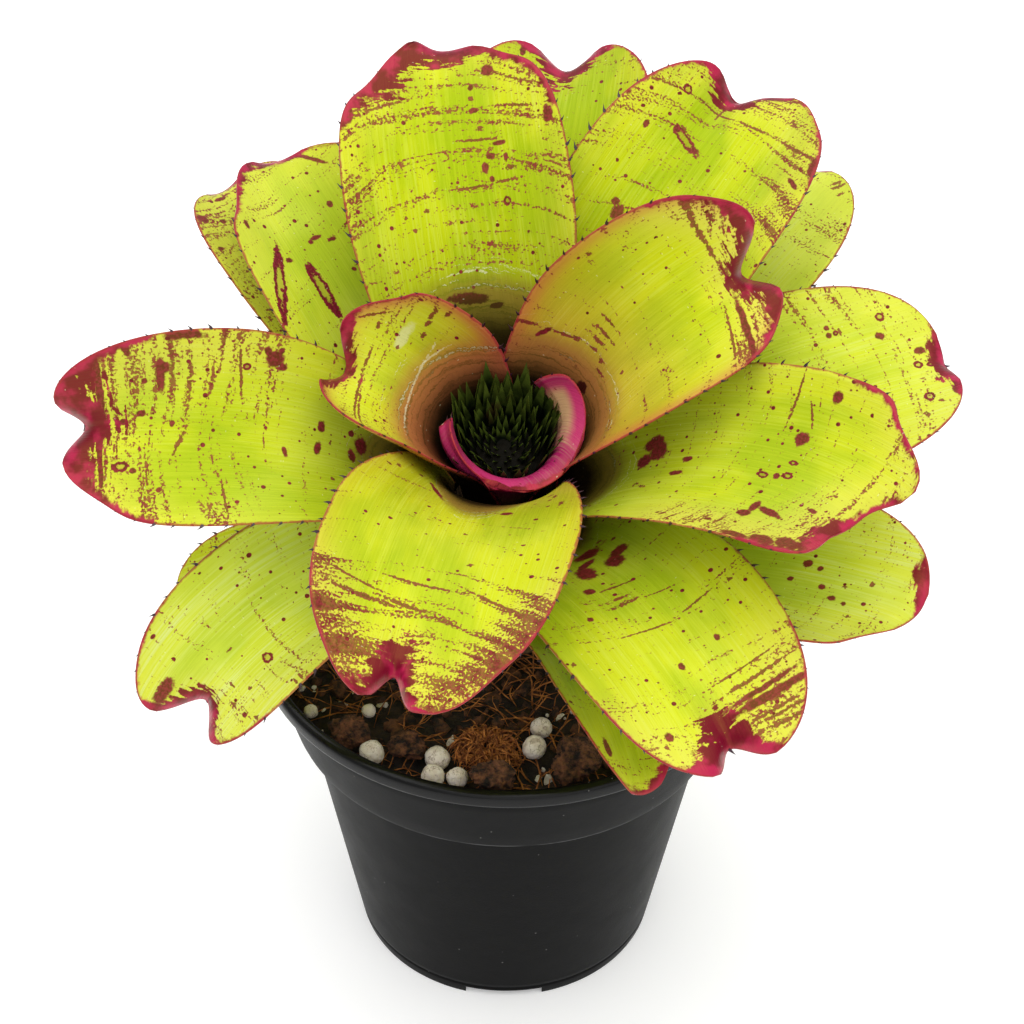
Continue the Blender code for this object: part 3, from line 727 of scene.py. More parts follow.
def leaf_blade(name, leaf, order, thickness):
    """Models a leaf's blade: a grid bent to its surface and thickened, thinner at its margins."""
    deselect_all()
    bpy.ops.mesh.primitive_grid_add(
        x_subdivisions=LEAF_COLUMNS, y_subdivisions=LEAF_ROWS, size=1.0
    )
    blade = bpy.context.object
    blade.name = name
    rows = leaf_points(leaf, order)
    facing = Matrix.Rotation(math.radians(leaf.turn), 4, "Z")
    turn = Matrix.Translation(POT_CENTRE) @ CROWN_FRAME @ facing
    width = LEAF_COLUMNS + 1
    mesh = blade.data
    cells = [rows[index // width][index % width] for index in range(len(mesh.vertices))]
    for vert, (point, _, _) in zip(mesh.vertices, cells):
        vert.co = (turn @ point) * MM
    points = np.array([point for point, _, _ in cells])
    grid = points.reshape(LEAF_ROWS + 1, width, 3)
    tip_rows = slice(int(LEAF_ROWS * TIP_ROWS_FROM), None)
    tip_edge = np.concatenate([grid[-1], grid[tip_rows, 0], grid[tip_rows, -1]])
    margin = outline_distance(points, np.concatenate([grid[:, 0], grid[:, -1], grid[-1]]))
    for label, values in (("margin", margin), ("tip", outline_distance(points, tip_edge))):
        layer = mesh.attributes.new(label, "FLOAT", "POINT")
        layer.data.foreach_set("value", values.astype(np.float32))
    span = mesh.uv_layers.new(name="leaf_span")
    for loop in mesh.loops:
        _, across, run = cells[loop.vertex_index]
        span.data[loop.index].uv = (0.5 + across / SPAN_SCALE, run / SPAN_SCALE)
    thick = blade.vertex_groups.new(name="thick")
    for index, distance in enumerate(margin):
        thick.add([index], min(MARGIN_THINNESS + distance / THICKENS_OVER, 1.0), "REPLACE")
    apply_modifier(
        blade,
        "SOLIDIFY",
        thickness=thickness * MM,
        offset=0.0,
        vertex_group="thick",
        material_offset=1,
        material_offset_rim=0,
        use_even_offset=True,
    )
    return blade, rows, turn


# A marginal spine's shape, in shares of its height, and how evenly spines stand along a margin.
SPINE_SEED = 100
SPINE_SIDES = 6
SPINE_JOINT = 0.42  # where the cone is cut across, so that it can be hooked
SPINE_HOOK = 0.75
SPINE_LONG = 0.62
SPINE_BROAD = 0.3
SPINE_SLIMNESS = 1.7
SPINE_SUNK = 0.25  # millimetres of its foot inside the leaf
SPINE_FIRST_ROW = 4
SPINE_ROWS_LEFT_AT_TIP = 3
SPINE_GAPS = (0.75, 1.3)
SPINE_SIZES = (0.65, 1.15)
SPINE_DWINDLE = 0.65
SPINE_DWINDLE_FROM = 0.55
TIP_SPINE_SIZE = 1.3
TIP_SPINE_SUNK = 0.4
TIP_SPINE_BROAD = 0.3
TIP_SPINE_THICK = 0.22
TIP_SPINE_BEND = 0.35
TIP_SPINE_DROP = 0.05


def spine_template():
    """A small cone of radius 1 and height 1, cut across so that its copies can be hooked."""
    deselect_all()
    bpy.ops.mesh.primitive_cone_add(
        vertices=SPINE_SIDES, radius1=1.0, radius2=0.0, depth=1.0, location=(0, 0, 0.5)
    )
    cone = bpy.context.object
    apply_place(cone)
    bpy.ops.object.mode_set(mode="EDIT")
    bpy.ops.mesh.select_all(action="SELECT")
    bpy.ops.mesh.bisect(plane_co=(0, 0, SPINE_JOINT), plane_no=(0, 0, 1))
    bpy.ops.object.mode_set(mode="OBJECT")
    return take_template(cone)


def spines(leaf, rows, turn, spacing, height, template, rng):
    """Forward-hooked spines along both margins, as parts in the pot's frame."""
    parts = []
    back = Matrix.Translation(-POT_CENTRE)
    for column, inner in ((0, 1), (LEAF_COLUMNS, LEAF_COLUMNS - 1)):
        wait = spacing
        for row in range(SPINE_FIRST_ROW, LEAF_ROWS - SPINE_ROWS_LEFT_AT_TIP):
            here = rows[row][column][0]
            ahead = rows[row + 1][column][0] - here
            wait -= ahead.length
            if wait > 0.0:
                continue
            wait = spacing * rng.uniform(*SPINE_GAPS)
            forward = ahead.normalized()
            outward = (here - rows[row][inner][0]).normalized()
            outward = (outward - forward * outward.dot(forward)).normalized()
            normal = forward.cross(outward)
            dwindle = SPINE_DWINDLE * ease(SPINE_DWINDLE_FROM, 1.0, row / LEAF_ROWS)
            tall = height * rng.uniform(*SPINE_SIZES) * (1.0 - dwindle)
            verts = []
            for vert in template[0]:
                hook = SPINE_HOOK * tall * vert.z**2
                local = (
                    here
                    - outward * SPINE_SUNK
                    + outward * tall * vert.z
                    + forward * (vert.x * SPINE_LONG * tall / SPINE_SLIMNESS + hook)
                    + normal * vert.y * SPINE_BROAD * tall / SPINE_SLIMNESS
                )
                verts.append(back @ (turn @ local))
            parts.append((verts, template[1]))
    if leaf.notch_depth:
        ending = tip_spine(leaf, rows, back @ turn, TIP_SPINE_SIZE * height, template[0])
        parts.append((ending, template[1]))
    return parts


def tip_spine(leaf, rows, turn, tall, verts):
    """The stouter spine that stands in a leaf's notch, bent upwards."""
    column = min(range(LEAF_COLUMNS + 1), key=lambda at: abs(rows[-1][at][1] - leaf.notch_at))
    column = min(max(column, 1), LEAF_COLUMNS - 1)
    here = rows[-1][column][0]
    forward = (here - rows[-3][column][0]).normalized()
    side = (rows[-3][column + 1][0] - rows[-3][column - 1][0]).normalized()
    upper = forward.cross(side)
    made = []
    for vert in verts:
        rise = tall * (TIP_SPINE_BEND * vert.z**2 - TIP_SPINE_DROP)
        local = (
            here
            + forward * (tall * vert.z - TIP_SPINE_SUNK)
            + side * TIP_SPINE_BROAD * vert.x * tall
            + upper * (rise + TIP_SPINE_THICK * vert.y * tall)
        )
        made.append(turn @ local)
    return made


# Colours of the leaves, from their skin to their marks and their undersides.
LEAF_GREEN = (0.3, 0.42, 0.002)
LEAF_YELLOW = (0.54, 0.6, 0.004)
# Painted shade: the darker green laid over a leaf towards its base, where the leaves shade each
# other.
PAINTED_SHADE_GREEN = (0.24, 0.31, 0.001)
GRAIN_LIGHT = (0.64, 0.73, 0.025)
PALE_LIME = (0.72, 0.82, 0.11)
MAGENTA = (0.5, 0.03, 0.15)
DEEP_MAGENTA = (0.34, 0.01, 0.1)
BARE_TAN = (0.6, 0.42, 0.2)
CREAM = (0.72, 0.64, 0.11)
BLUSH = (0.64, 0.18, 0.05)
BLUSHED_MARGIN = (0.52, 0.05, 0.07)
# Painted shade: near black deep in the rosette, below the brown base.
SHEATH_PAINTED_SHADE = (0.012, 0.007, 0.003)
SCURF_WHITE = (0.8, 0.78, 0.55)
SCUFF_WHITE = (0.78, 0.76, 0.5)
DEEP_CRIMSON = (0.17, 0.003, 0.02)
CRIMSON = (0.43, 0.01, 0.07)
MARGIN_RED = (0.34, 0.02, 0.04)
DUST_SILVER = (0.66, 0.75, 0.38)
FLECK_WHITE = (0.85, 0.9, 0.6)
DEEP_MAROON = (0.11, 0.001, 0.012)
MAROON = (0.23, 0.004, 0.033)
# Painted shade: what the maroon marks turn to deep down in the sheath.
PAINTED_SHADE_MAROON = (0.03, 0.001, 0.004)
UNDER_GREEN = (0.2, 0.3, 0.02)
UNDER_YELLOW = (0.4, 0.47, 0.05)
UNDER_SILVER = (0.55, 0.6, 0.42)
UNDER_SPECK = (0.16, 0.02, 0.02)
UNDER_TIP = (0.42, 0.01, 0.07)
SHEATH_TAN = (0.2, 0.125, 0.022)
SHEATH_BLUSHED = (0.4, 0.115, 0.05)
SHEATH_LINE_SHADE = 0.4
THIN_STROKE = 0.75  # half-width in millimetres below which a spot is a broken, fainter stroke
BOW_AT = 30.0  # how far across the leaf the bow of its lines is measured
SKIN_SEED_STEP = 13.7


class LeafLook(Look):
    """A leaf's waxy skin, laid out in millimetres across and along the leaf."""

    def __init__(self, name, leaf, order):
        super().__init__(name)
        self.leaf = leaf
        span = self.add("UVMap", uv_map="leaf_span").outputs[0]
        centred = self.vector("SUBTRACT", span, (0.5, 0.0, 0.0))
        self.flat = self.vector("MULTIPLY", centred, (SPAN_SCALE, SPAN_SCALE, 0.0))
        self.place = self.vector("ADD", self.flat, (0.0, 0.0, SKIN_SEED_STEP * (order + 1)))
        parts = self.add("SeparateXYZ", self.flat)
        self.across, self.run = parts.outputs[0], parts.outputs[1]
        self.tip = self.attribute("tip")
        self.margin = self.attribute("margin")
        self.broad = self.noise(self.vector("MULTIPLY", self.place, (1.0, 0.45, 1.0)), 0.055, 3.0)
        drawn_out = self.vector("MULTIPLY", self.place, (1.9, 0.035, 1.0))
        self.grain = self.noise(drawn_out, 1.0, 3.0, 0.6)
        self.fine = self.noise(self.place, 1.35, 1.0)
        self.wobble = self.minus(self.noise(self.place, 0.35, 3.0, 0.65), 0.5)
        self.grown = self.step(self.run, leaf.lines_from - 22.0, leaf.lines_from + 8.0)
        side = self.times(self.across, -0.35 * leaf.smear_side)
        edge = self.plus(self.math("MINIMUM", self.tip, self.plus(self.margin, 3.0)), side)
        self.crowding = self.times(self.step(edge, 19.0, 2.0), self.grown)

    def bend(self, value, droop, slant=0.0):
        """A distance along the leaf, measured in bands that droop and slant across it."""
        square = self.times(self.across, self.across)
        value = self.scaled(square, droop, value)
        return self.scaled(self.across, -slant, value)

    def banded(self, level, across_scale, along_scale):
        """A place for noise to be read at, drawn out into bands across the leaf."""
        across = self.times(self.across, across_scale)
        along = self.times(level, along_scale)
        layer = self.add("SeparateXYZ", self.place).outputs[2]
        return self.add("CombineXYZ", across, along, layer).outputs[0]

    def skin(self):
        """Green down the middle, yellow towards margins and tip, orange where it blushes, painted
        shade low down.
        """
        share = self.math("DIVIDE", self.run, self.leaf.length)
        yellow = self.plus(self.step(share, 0.3, 1.0), self.step(self.margin, 16.0, 0.0))
        yellow = self.scaled(yellow, 0.45, self.step(self.broad, 0.36, 0.62))
        yellow = self.minus(yellow, self.leaf.green, clamp=True)
        skin = self.mix(yellow, LEAF_GREEN, LEAF_YELLOW)
        # Painted shade: darker green towards the base, less on leaves that blush.
        painted_shade = self.times(self.step(share, 0.66, 0.3), 0.5 * (1.0 - self.leaf.blush))
        skin = self.mix(painted_shade, skin, PAINTED_SHADE_GREEN)
        skin = self.tint(self.step(self.grain, 0.3, 0.8), 0.3, skin, GRAIN_LIGHT)
        pale = self.step(self.noise(self.place, 0.03, 2.0), 0.4, 0.66)
        pale = self.scaled(pale, 0.35, 0.45 * self.leaf.pale)
        skin = self.tint(pale, self.leaf.pale, skin, PALE_LIME)
        if self.leaf.magenta:
            bare = self.scaled(self.grain, 22.0, self.across)
            bare = self.times(self.step(bare, 18.0, 30.0), self.step(self.margin, 2.5, 6.5))
            skin = self.mix(self.step(self.broad, 0.38, 0.6), MAGENTA, DEEP_MAGENTA)
            skin = self.tint(bare, 0.85, skin, BARE_TAN)
        cream = self.times(self.crowding, 0.75 * self.leaf.smears)
        skin = self.mix(cream, skin, CREAM)
        if self.leaf.blush:
            low = self.step(share, 0.8, 0.3)
            side = self.times(self.step(self.margin, 9.0, 0.0), 0.5)
            blush = self.times(self.plus(low, side), 0.75 * self.leaf.blush, clamp=True)
            skin = self.mix(blush, skin, BLUSH)
            side = self.times(self.step(self.margin, 5.5, 0.0), 0.6 * self.leaf.blush)
            skin = self.mix(side, skin, BLUSHED_MARGIN)
        return skin

    def sheath(self, skin):
        """The brown base down in the rosette, edged by arcs of white scurf, and painted shade, near
        black, deeper down.
        """
        apex, droop = self.leaf.sheath
        depth = self.minus(self.bend(self.run, droop), apex)
        depth = self.scaled(self.wobble, 3.0, depth)
        lines = self.noise(self.banded(depth, 0.035, 1.1), 1.0, 2.0, 0.6)
        blush = self.leaf.blush
        tan = tuple(a + (b - a) * blush for a, b in zip(SHEATH_TAN, SHEATH_BLUSHED))
        brown = tuple(SHEATH_LINE_SHADE * part for part in tan)
        tan = self.mix(self.step(lines, 0.5, 0.66), tan, brown)
        skin = self.tint(self.step(depth, 6.0, -5.0), 0.88, skin, tan)
        # Painted shade: near black further down, where the rosette lies in shadow.
        skin = self.mix(self.step(depth, -3.0, -17.0), skin, SHEATH_PAINTED_SHADE)
        self.depth = depth
        near = self.times(self.step(depth, 8.0, 3.0), self.step(depth, -6.0, 0.0))
        arcs = self.times(self.step(lines, 0.62, 0.66), self.step(self.fine, 0.42, 0.52))
        arcs = self.times(self.times(arcs, near), 0.5)
        return self.mix(arcs, skin, SCURF_WHITE)

    def bands(self):
        """Dotted cross lines, and smears where they crowd near the tip and the margins."""
        leaf = self.leaf
        level = self.bend(self.run, -leaf.bow / BOW_AT**2, leaf.slant)
        level = self.scaled(self.noise(self.place, 0.03, 1.0), 9.0, level)
        patch = self.step(self.noise(self.place, 0.06, 2.0), 0.4, 0.62)
        dots = self.minus(self.fine, 0.5)
        thick = self.plus(self.times(patch, 0.45), self.times(self.crowding, 0.55))
        thick = self.times(self.plus(thick, 0.35), self.grown)
        thick = self.plus(self.times(thick, 0.19 * leaf.lines), self.times(dots, 0.7))
        lines = self.plus(self.noise(self.banded(level, 0.02, 0.42), 1.0, 3.0, 0.6), thick)
        heavy = self.times(self.crowding, 0.27 * leaf.smears)
        heavy = self.plus(heavy, self.times(dots, 0.6))
        smears = self.plus(self.noise(self.banded(level, 0.06, 0.3), 1.0, 4.0, 0.7), heavy)
        bands = self.math("MAXIMUM", self.step(lines, 0.68, 0.8), self.step(smears, 0.68, 0.8))
        strength = self.plus(self.times(self.step(self.wobble, -0.12, 0.16), 0.14), 0.84)
        return self.times(bands, strength)

    def dots(self):
        """Scattered specks, and a few larger dots with a paler middle."""
        crowd = self.step(self.noise(self.place, 0.05, 2.0), 0.36, 0.66)
        gap, pick, size = self.cells(self.place, 0.42)
        gap = self.minus(gap, self.times(self.math("POWER", size, 3.0), 0.22))
        keep = self.plus(pick, self.times(crowd, 0.35 * self.leaf.specks))
        keep = self.math("GREATER_THAN", keep, 0.93 - 0.35 * self.leaf.specks)
        specks = self.times(self.step(gap, 0.13, 0.05), keep)
        gap, pick, size = self.cells(self.place, 0.11)
        gap = self.minus(gap, self.times(size, 0.09))
        gap = self.scaled(self.wobble, 0.12, gap)
        keep = self.math("GREATER_THAN", pick, 0.99 - 0.12 * self.leaf.specks)
        large = self.times(self.step(gap, 0.06, 0.035), keep)
        hollow = self.times(self.step(gap, -0.01, -0.04), 0.4)
        return self.math("MAXIMUM", specks, self.minus(large, hollow, clamp=True))

    def spot(self, across, along, half, long, turn=0.0):
        """How far out of one ragged oval spot: 0 at its middle, 1 at its edge."""
        node = self.add("Mapping", self.flat, vector_type="TEXTURE")
        node.inputs["Location"].default_value = (across, along, 0.0)
        node.inputs["Rotation"].default_value = (0.0, 0.0, math.radians(turn))
        node.inputs["Scale"].default_value = (half, long, 1.0)
        size = self.add("VectorMath", node.outputs[0], operation="LENGTH").outputs["Value"]
        thin = min(half, long)
        size = self.scaled(self.wobble, 0.8 + 0.55 / thin, size)
        broken = self.times(self.minus(0.5, self.fine), 2.6 if thin < THIN_STROKE else 0.5)
        return self.plus(size, broken)

    def marks(self):
        """All that is maroon: bands, specks, the larger spots and the ringed scars."""
        marks = self.math("MAXIMUM", self.bands(), self.dots())
        marks = self.times(marks, self.step(self.depth, -9.0, -1.0))
        for place in self.leaf.spots:
            solid = 0.88 if min(place[2:4]) < THIN_STROKE else 0.97
            spot = self.times(self.step(self.spot(*place), 1.2, 0.8), solid)
            marks = self.math("MAXIMUM", marks, spot)
        for place in self.leaf.rings:
            size = self.spot(*place)
            middle = self.times(self.step(size, 0.6, 0.35), 0.75)
            marks = self.math("MAXIMUM", marks, self.minus(self.step(size, 1.12, 0.95), middle))
        return marks

    def scuffed(self, skin):
        """Pale scuffs, laid over the skin one by one."""
        for place in self.leaf.silver:
            scuff = self.times(self.step(self.spot(*place), 1.2, 0.6), 0.5)
            skin = self.mix(scuff, skin, SCUFF_WHITE)
        return skin

    def crimson(self, skin):
        """Crimson round the notch, thinning to a red line along the margins."""
        at, depth, width = self.leaf.tip
        aside = self.math("ABSOLUTE", self.minus(self.across, at))
        reach = self.times(self.step(aside, 1.1 * width, 0.15 * width), depth)
        reach = self.plus(reach, 0.55 * self.leaf.edge)
        streaks = self.noise(self.banded(self.run, 0.07, 0.55), 1.0, 2.0, 0.6)
        ragged = self.plus(self.minus(streaks, 0.5), self.times(self.wobble, 0.8))
        ragged = self.scaled(ragged, 2.0, 1.0)
        inside = self.minus(self.times(reach, ragged), self.tip)
        lighter = self.times(self.step(self.tip, 3.5, 0.0), 0.16)
        shade = self.plus(self.noise(self.place, 0.2, 3.0), lighter)
        crimson = self.mix(self.step(shade, 0.45, 0.72), DEEP_CRIMSON, CRIMSON)
        frayed = self.scaled(self.fine, -1.2, inside)
        skin = self.mix(self.step(frayed, -0.9, 0.4), skin, crimson)
        rim = self.scaled(self.wobble, 1.8, self.margin)
        return self.tint(self.step(rim, 0.75, 0.1), 0.8, skin, MARGIN_RED)

    def dusted(self, skin):
        """Silvery scurf drawn out along the leaf. Returns the colour and how dusty it is."""
        dust = self.times(self.step(self.grain, 0.42, 0.72), self.step(self.broad, 0.36, 0.6))
        dust = self.times(dust, self.leaf.scurf)
        return self.tint(dust, 0.6, skin, DUST_SILVER), dust

    def flecked(self, skin):
        """Tiny white flecks."""
        gap, pick, _ = self.cells(self.vector("MULTIPLY", self.place, (0.6, 1.4, 1.0)), 0.5)
        flecks = self.times(self.step(gap, 0.12, 0.05), self.step(pick, 0.74, 0.8))
        return self.tint(flecks, 0.35, skin, FLECK_WHITE)


def leaf_look(name, leaf, order):
    """Waxy yellow-green skin with maroon marks and a crimson tip."""
    look = LeafLook(name, leaf, order)
    skin, dust = look.dusted(look.skin())
    skin = look.scuffed(look.sheath(skin))
    maroon = look.mix(look.step(look.fine, 0.35, 0.65), DEEP_MAROON, MAROON)
    # Painted shade: the marks darken to near black deep in the sheath.
    maroon = look.mix(look.step(look.depth, 2.0, -8.0), maroon, PAINTED_SHADE_MAROON)
    skin = look.flecked(look.crimson(look.mix(look.marks(), skin, maroon)))
    height = look.plus(look.times(look.grain, 0.6), look.times(look.broad, 2.0))
    roughness = look.plus(0.36, look.times(dust, 0.25))
    normal = look.bump(height, 0.25 * MM)
    gloss = {"Specular_IOR_Level": 0.3, "Specular_Tint": (1.0, 1.0, 0.1, 1.0)}
    return look.surface(skin, roughness, normal, **gloss)


def underside_look():
    """Greener, duller underside with silvery cross bands."""
    look = Look("leaf_underside")
    span = look.add("UVMap", uv_map="leaf_span").outputs[0]
    place = look.vector("MULTIPLY", span, (SPAN_SCALE, SPAN_SCALE, 1.0))
    bands = look.noise(look.vector("MULTIPLY", place, (0.03, 0.5, 1.0)), 1.0, 3.0, 0.6)
    broad = look.noise(place, 0.05, 3.0)
    tip = look.attribute("tip")
    skin = look.mix(look.step(broad, 0.35, 0.65), UNDER_GREEN, UNDER_YELLOW)
    skin = look.tint(look.step(bands, 0.48, 0.62), 0.45, skin, UNDER_SILVER)
    speck, pick, _ = look.cells(place, 0.3)
    specks = look.times(look.step(speck, 0.14, 0.08), look.step(pick, 0.4, 0.5))
    skin = look.tint(specks, 0.8, skin, UNDER_SPECK)
    skin = look.mix(look.step(tip, 6.0, 2.0), skin, UNDER_TIP)
    return look.surface(skin, 0.5, look.bump(bands, 0.15 * MM), Specular_IOR_Level=0.35)


def spine_look():
    look = Look("spine")
    shade = look.noise(look.object_place(), 900.0)
    return look.surface(look.mix(shade, (0.012, 0.004, 0.012), (0.06, 0.012, 0.03)), 0.35)


# ---------------------------------------------------------------- flower cushion


def bract(base, direction, side, length, width, curl):
    """A small pointed bract: a folded blade of three vertices a row, closed on both faces."""
    normal = direction.cross(side).normalized()
    verts = []
    rows = BRACT_ROWS
    for row in range(rows + 1):
        t = row / rows
        half = width * (1.0 - t**BRACT_POINT) * (0.75 + 0.5 * math.sin(math.pi * t)) + 0.02
        spine_point = base + direction * length * t + normal * curl * t * t
        for across, lift in ((-1.0, 0.3), (0.0, 0.0), (1.0, 0.3)):
            verts.append(spine_point + side * half * across + normal * half * lift)
    count = len(verts)
    verts += [vert - normal * BRACT_THICKNESS for vert in verts]
    faces = []
    for row in range(rows):
        for column in range(2):
            a = row * 3 + column
            faces.append((a, a + 1, a + 4, a + 3))
            faces.append((count + a, count + a + 3, count + a + 4, count + a + 1))
    for row in range(rows):
        a = row * 3
        faces.append((a, a + 3, count + a + 3, count + a))
        faces.append((a + 2, count + a + 2, count + a + 5, a + 5))
    last = rows * 3
    for column in range(2):
        faces.append((column, count + column, count + column + 1, column + 1))
        a = last + column
        faces.append((a, a + 1, count + a + 1, count + a))
    return verts, faces


CUSHION_RINGS = (
    # radius, bracts, foot height, length, half-width, lean outwards
    (14.0, 26, 60.0, 15.5, 2.2, 7.0),
    (12.2, 24, 61.0, 15.0, 2.1, 3.0),
    (10.2, 24, 61.5, 12.5, 1.7, 4.0),
    (8.0, 22, 61.5, 9.5, 1.3, 8.0),
    (5.8, 20, 61.5, 7.0, 0.9, 12.0),
    (3.8, 14, 61.5, 5.6, 0.8, 14.0),
    (1.8, 8, 61.5, 4.8, 0.7, 16.0),
)
BRACT_ROWS = 5
BRACT_POINT = 1.6
BRACT_THICKNESS = 0.22
CUSHION_SEED = 8
BRACT_TURN = 0.3
BRACT_TILT = 9.0
BACK_TILT = 14.0  # how much further the bracts lean out in front than at the back
CORE_SIDES = 32
CORE_RINGS = (
    # radius, height
    (0.05, 46.5),
    (7.0, 46.5),
    (13.2, 59.0),
    (13.6, 60.5),
    (12.6, 61.6),
    (9.0, 62.0),
    (4.0, 62.2),
    (0.05, 62.3),
)


def cushion_parts(rng):
    """Rings of bracts that fill the cup, taller at its back."""
    parts = []
    for radius, count, foot, length, half, lean in CUSHION_RINGS:
        for index in range(count):
            turn = math.tau * (index + rng.uniform(-BRACT_TURN, BRACT_TURN)) / count
            out = Vector((math.cos(turn), math.sin(turn), 0.0))
            side = Vector((-math.sin(turn), math.cos(turn), 0.0))
            back = 0.5 + 0.5 * math.sin(turn)
            tilt = lean + rng.uniform(-BRACT_TILT, BRACT_TILT) + BACK_TILT * (1.0 - back)
            tilt = math.radians(tilt)
            direction = (out * math.sin(tilt) + Vector((0, 0, math.cos(tilt)))).normalized()
            long = length * (0.72 + 0.45 * back) * rng.uniform(0.85, 1.15)
            narrow = half * (0.55 + 0.55 * back) * rng.uniform(0.85, 1.15)
            base = out * radius * rng.uniform(0.94, 1.04) + Vector((0, 0, foot))
            verts, faces = bract(base, direction, side, long, narrow, rng.uniform(-0.5, 0.5))
            parts.append(([CROWN_FRAME @ vert for vert in verts], faces))
    return parts


def cushion_core():
    """The wet plug that the bracts stand on; its near-black look is partly wetness and partly
    painted shade.
    """
    verts = []
    for radius, height in CORE_RINGS:
        for corner in range(CORE_SIDES):
            angle = math.tau * corner / CORE_SIDES
            x, y = radius * math.cos(angle), radius * math.sin(angle)
            verts.append(CROWN_FRAME @ Vector((x, y, height)))
    return verts, tube_faces(len(CORE_RINGS), CORE_SIDES)


def bract_look():
    """Painted shade, near black, at the foot, lighter green towards the point, with brown patches.
    """
    look = Look("bract")
    place = look.object_place()
    shade = look.noise(place, 260.0, 3.0)
    rise = look.plus(look.attribute("rise"), look.times(look.minus(shade, 0.5), 0.8))
    # Painted shade: near black at the bracts' feet deep in the cup, lighter green where the points
    # stand in the light.
    green = look.mix(look.step(rise, 0.25, 1.05), (0.001, 0.003, 0.001), (0.075, 0.115, 0.014))
    brown = look.step(look.noise(place, 120.0, 2.0), 0.6, 0.7)
    colour = look.tint(brown, 0.6, green, (0.03, 0.012, 0.005))
    return look.surface(colour, 0.38, look.bump(shade, 0.2 * MM), Specular_IOR_Level=0.25)


def core_shade_look():
    look = Look("core_painted_shade")
    place = look.object_place()
    shade = look.noise(place, 400.0, 3.0)
    # Near black: partly the wet centre, partly painted shade deep in the cup.
    colour = look.mix(shade, (0.001, 0.0015, 0.0005), (0.008, 0.006, 0.003))
    return look.surface(colour, 0.6, look.bump(shade, 0.6 * MM), Specular_IOR_Level=0.06)


# ---------------------------------------------------------------- pot, stem and mix


RIM_R = 76.0
RIM_FOOT = 112.5
COLLAR_TOP_R = 73.2
COLLAR_BOTTOM_R = 66.5
COLLAR_BOTTOM_Z = 87.5
BODY_TOP_R = 62.5
BASE_R = 47.5
AXIS_R = 0.4  # radius at which the section is closed near the axis
GROOVE = 0.18
RIM_GROOVE = 0.25
WALL = 1.6
FOOT_HEIGHT = 3.4
FOOT_WIDTH = 3.0
SLOT_HEIGHT = 3.0
SLOT_WIDTH = 24.0
SLOT_REACH = 100.0
POT_SIDES = 192
SCUFF_GREY = (0.06, 0.06, 0.06)
DUST_GREY = (0.22, 0.21, 0.2)
# Painted highlights: light lines where the collar step and the edge under the rim catch the light.
EDGE_HIGHLIGHT_GREY = (0.1, 0.1, 0.1)
HIGHLIGHT_LINES = ((COLLAR_BOTTOM_Z + 0.35, 0.4), (RIM_FOOT + 0.3, 0.3))  # height, half-height
STEM_BROWNS = ((0.05, 0.025, 0.012), (0.2, 0.12, 0.05))


def taper_r(z, low, high):
    return low[0] + (high[0] - low[0]) * (z - low[1]) / (high[1] - low[1])


def body_r(z):
    return taper_r(z, (BASE_R, 0.6), (BODY_TOP_R, COLLAR_BOTTOM_Z))


def collar_r(z):
    return taper_r(z, (COLLAR_BOTTOM_R, COLLAR_BOTTOM_Z), (COLLAR_TOP_R, RIM_FOOT))


def pot_rings():
    """The pot's half section: from under its floor up the outside, then down the inside."""
    foot_in = BASE_R - FOOT_WIDTH
    # the recess under the floor and the foot
    rings = [(AXIS_R, FOOT_HEIGHT), (foot_in - 0.6, FOOT_HEIGHT), (foot_in, FOOT_HEIGHT - 0.6)]
    rings += [(foot_in, 0.4), (foot_in + 0.4, 0.0), (BASE_R - 0.7, 0.0)]
    rings += [(BASE_R - 0.2, 0.2), (BASE_R, 0.7), (body_r(3.4), 3.4), (body_r(4.0), 4.0)]
    # the groove over the foot, and the body
    rings += [(body_r(z) - GROOVE, z) for z in (4.3, 4.9)]
    rings += [(body_r(z), z) for z in (5.2, 6.5, 12.0, 24.0, 40.0, 56.0, 72.0, 83.0, 85.6)]
    # the step out to the collar
    rings += [(body_r(86.6) + 0.12, 86.6), (BODY_TOP_R + 0.7, 87.2), (BODY_TOP_R + 1.6, 87.45)]
    rings += [(COLLAR_BOTTOM_R - 0.7, 87.5), (COLLAR_BOTTOM_R - 0.1, 87.75)]
    rings += [(COLLAR_BOTTOM_R + 0.12, 88.4)]
    # the collar, the groove under the rim and the rolled rim
    rings += [(collar_r(z), z) for z in (89.4, 94.0, 100.0, 106.0, 110.6)]
    rings += [(collar_r(z) - RIM_GROOVE, z) for z in (111.3, 111.9)]
    rings += [(COLLAR_TOP_R + 0.9, 112.3)]
    rings += arc((RIM_R - 1.3, 113.7), 1.3, -75, 0, 4)
    rings += arc((RIM_R - 1.9, 115.6), 1.9, 0, 90, 7)
    rings += arc((RIM_R - 2.4, 116.5), 1.0, 90, 180, 4)
    # the inside
    rings += [(RIM_R - 3.5, 114.6), (collar_r(RIM_FOOT) - WALL, RIM_FOOT - 0.6)]
    rings += [(collar_r(z) - WALL, z) for z in (106.0, 98.0, 90.0)]
    rings += [(collar_r(89.3) - WALL - 0.5, 89.1), (body_r(86.4) - WALL + 0.5, 86.6)]
    rings += [(body_r(z) - WALL, z) for z in (85.9, 60.0, 30.0, 6.0)]
    rings += [(body_r(5.0) - WALL - 1.0, 5.0), (AXIS_R, 5.0)]
    return rings


def cut_slots(pot):
    """Opens the four drain slots in the foot ring."""
    for length, width in ((SLOT_REACH, SLOT_WIDTH), (SLOT_WIDTH, SLOT_REACH)):
        deselect_all()
        size = Vector((length, width, 2 * SLOT_HEIGHT)) * MM
        bpy.ops.mesh.primitive_cube_add(size=1.0, location=POT_CENTRE * MM, scale=size)
        bar = bpy.context.object
        apply_place(bar)
        apply_modifier(pot, "BOOLEAN", object=bar, operation="DIFFERENCE", solver="EXACT")
        bpy.data.objects.remove(bar, do_unlink=True)


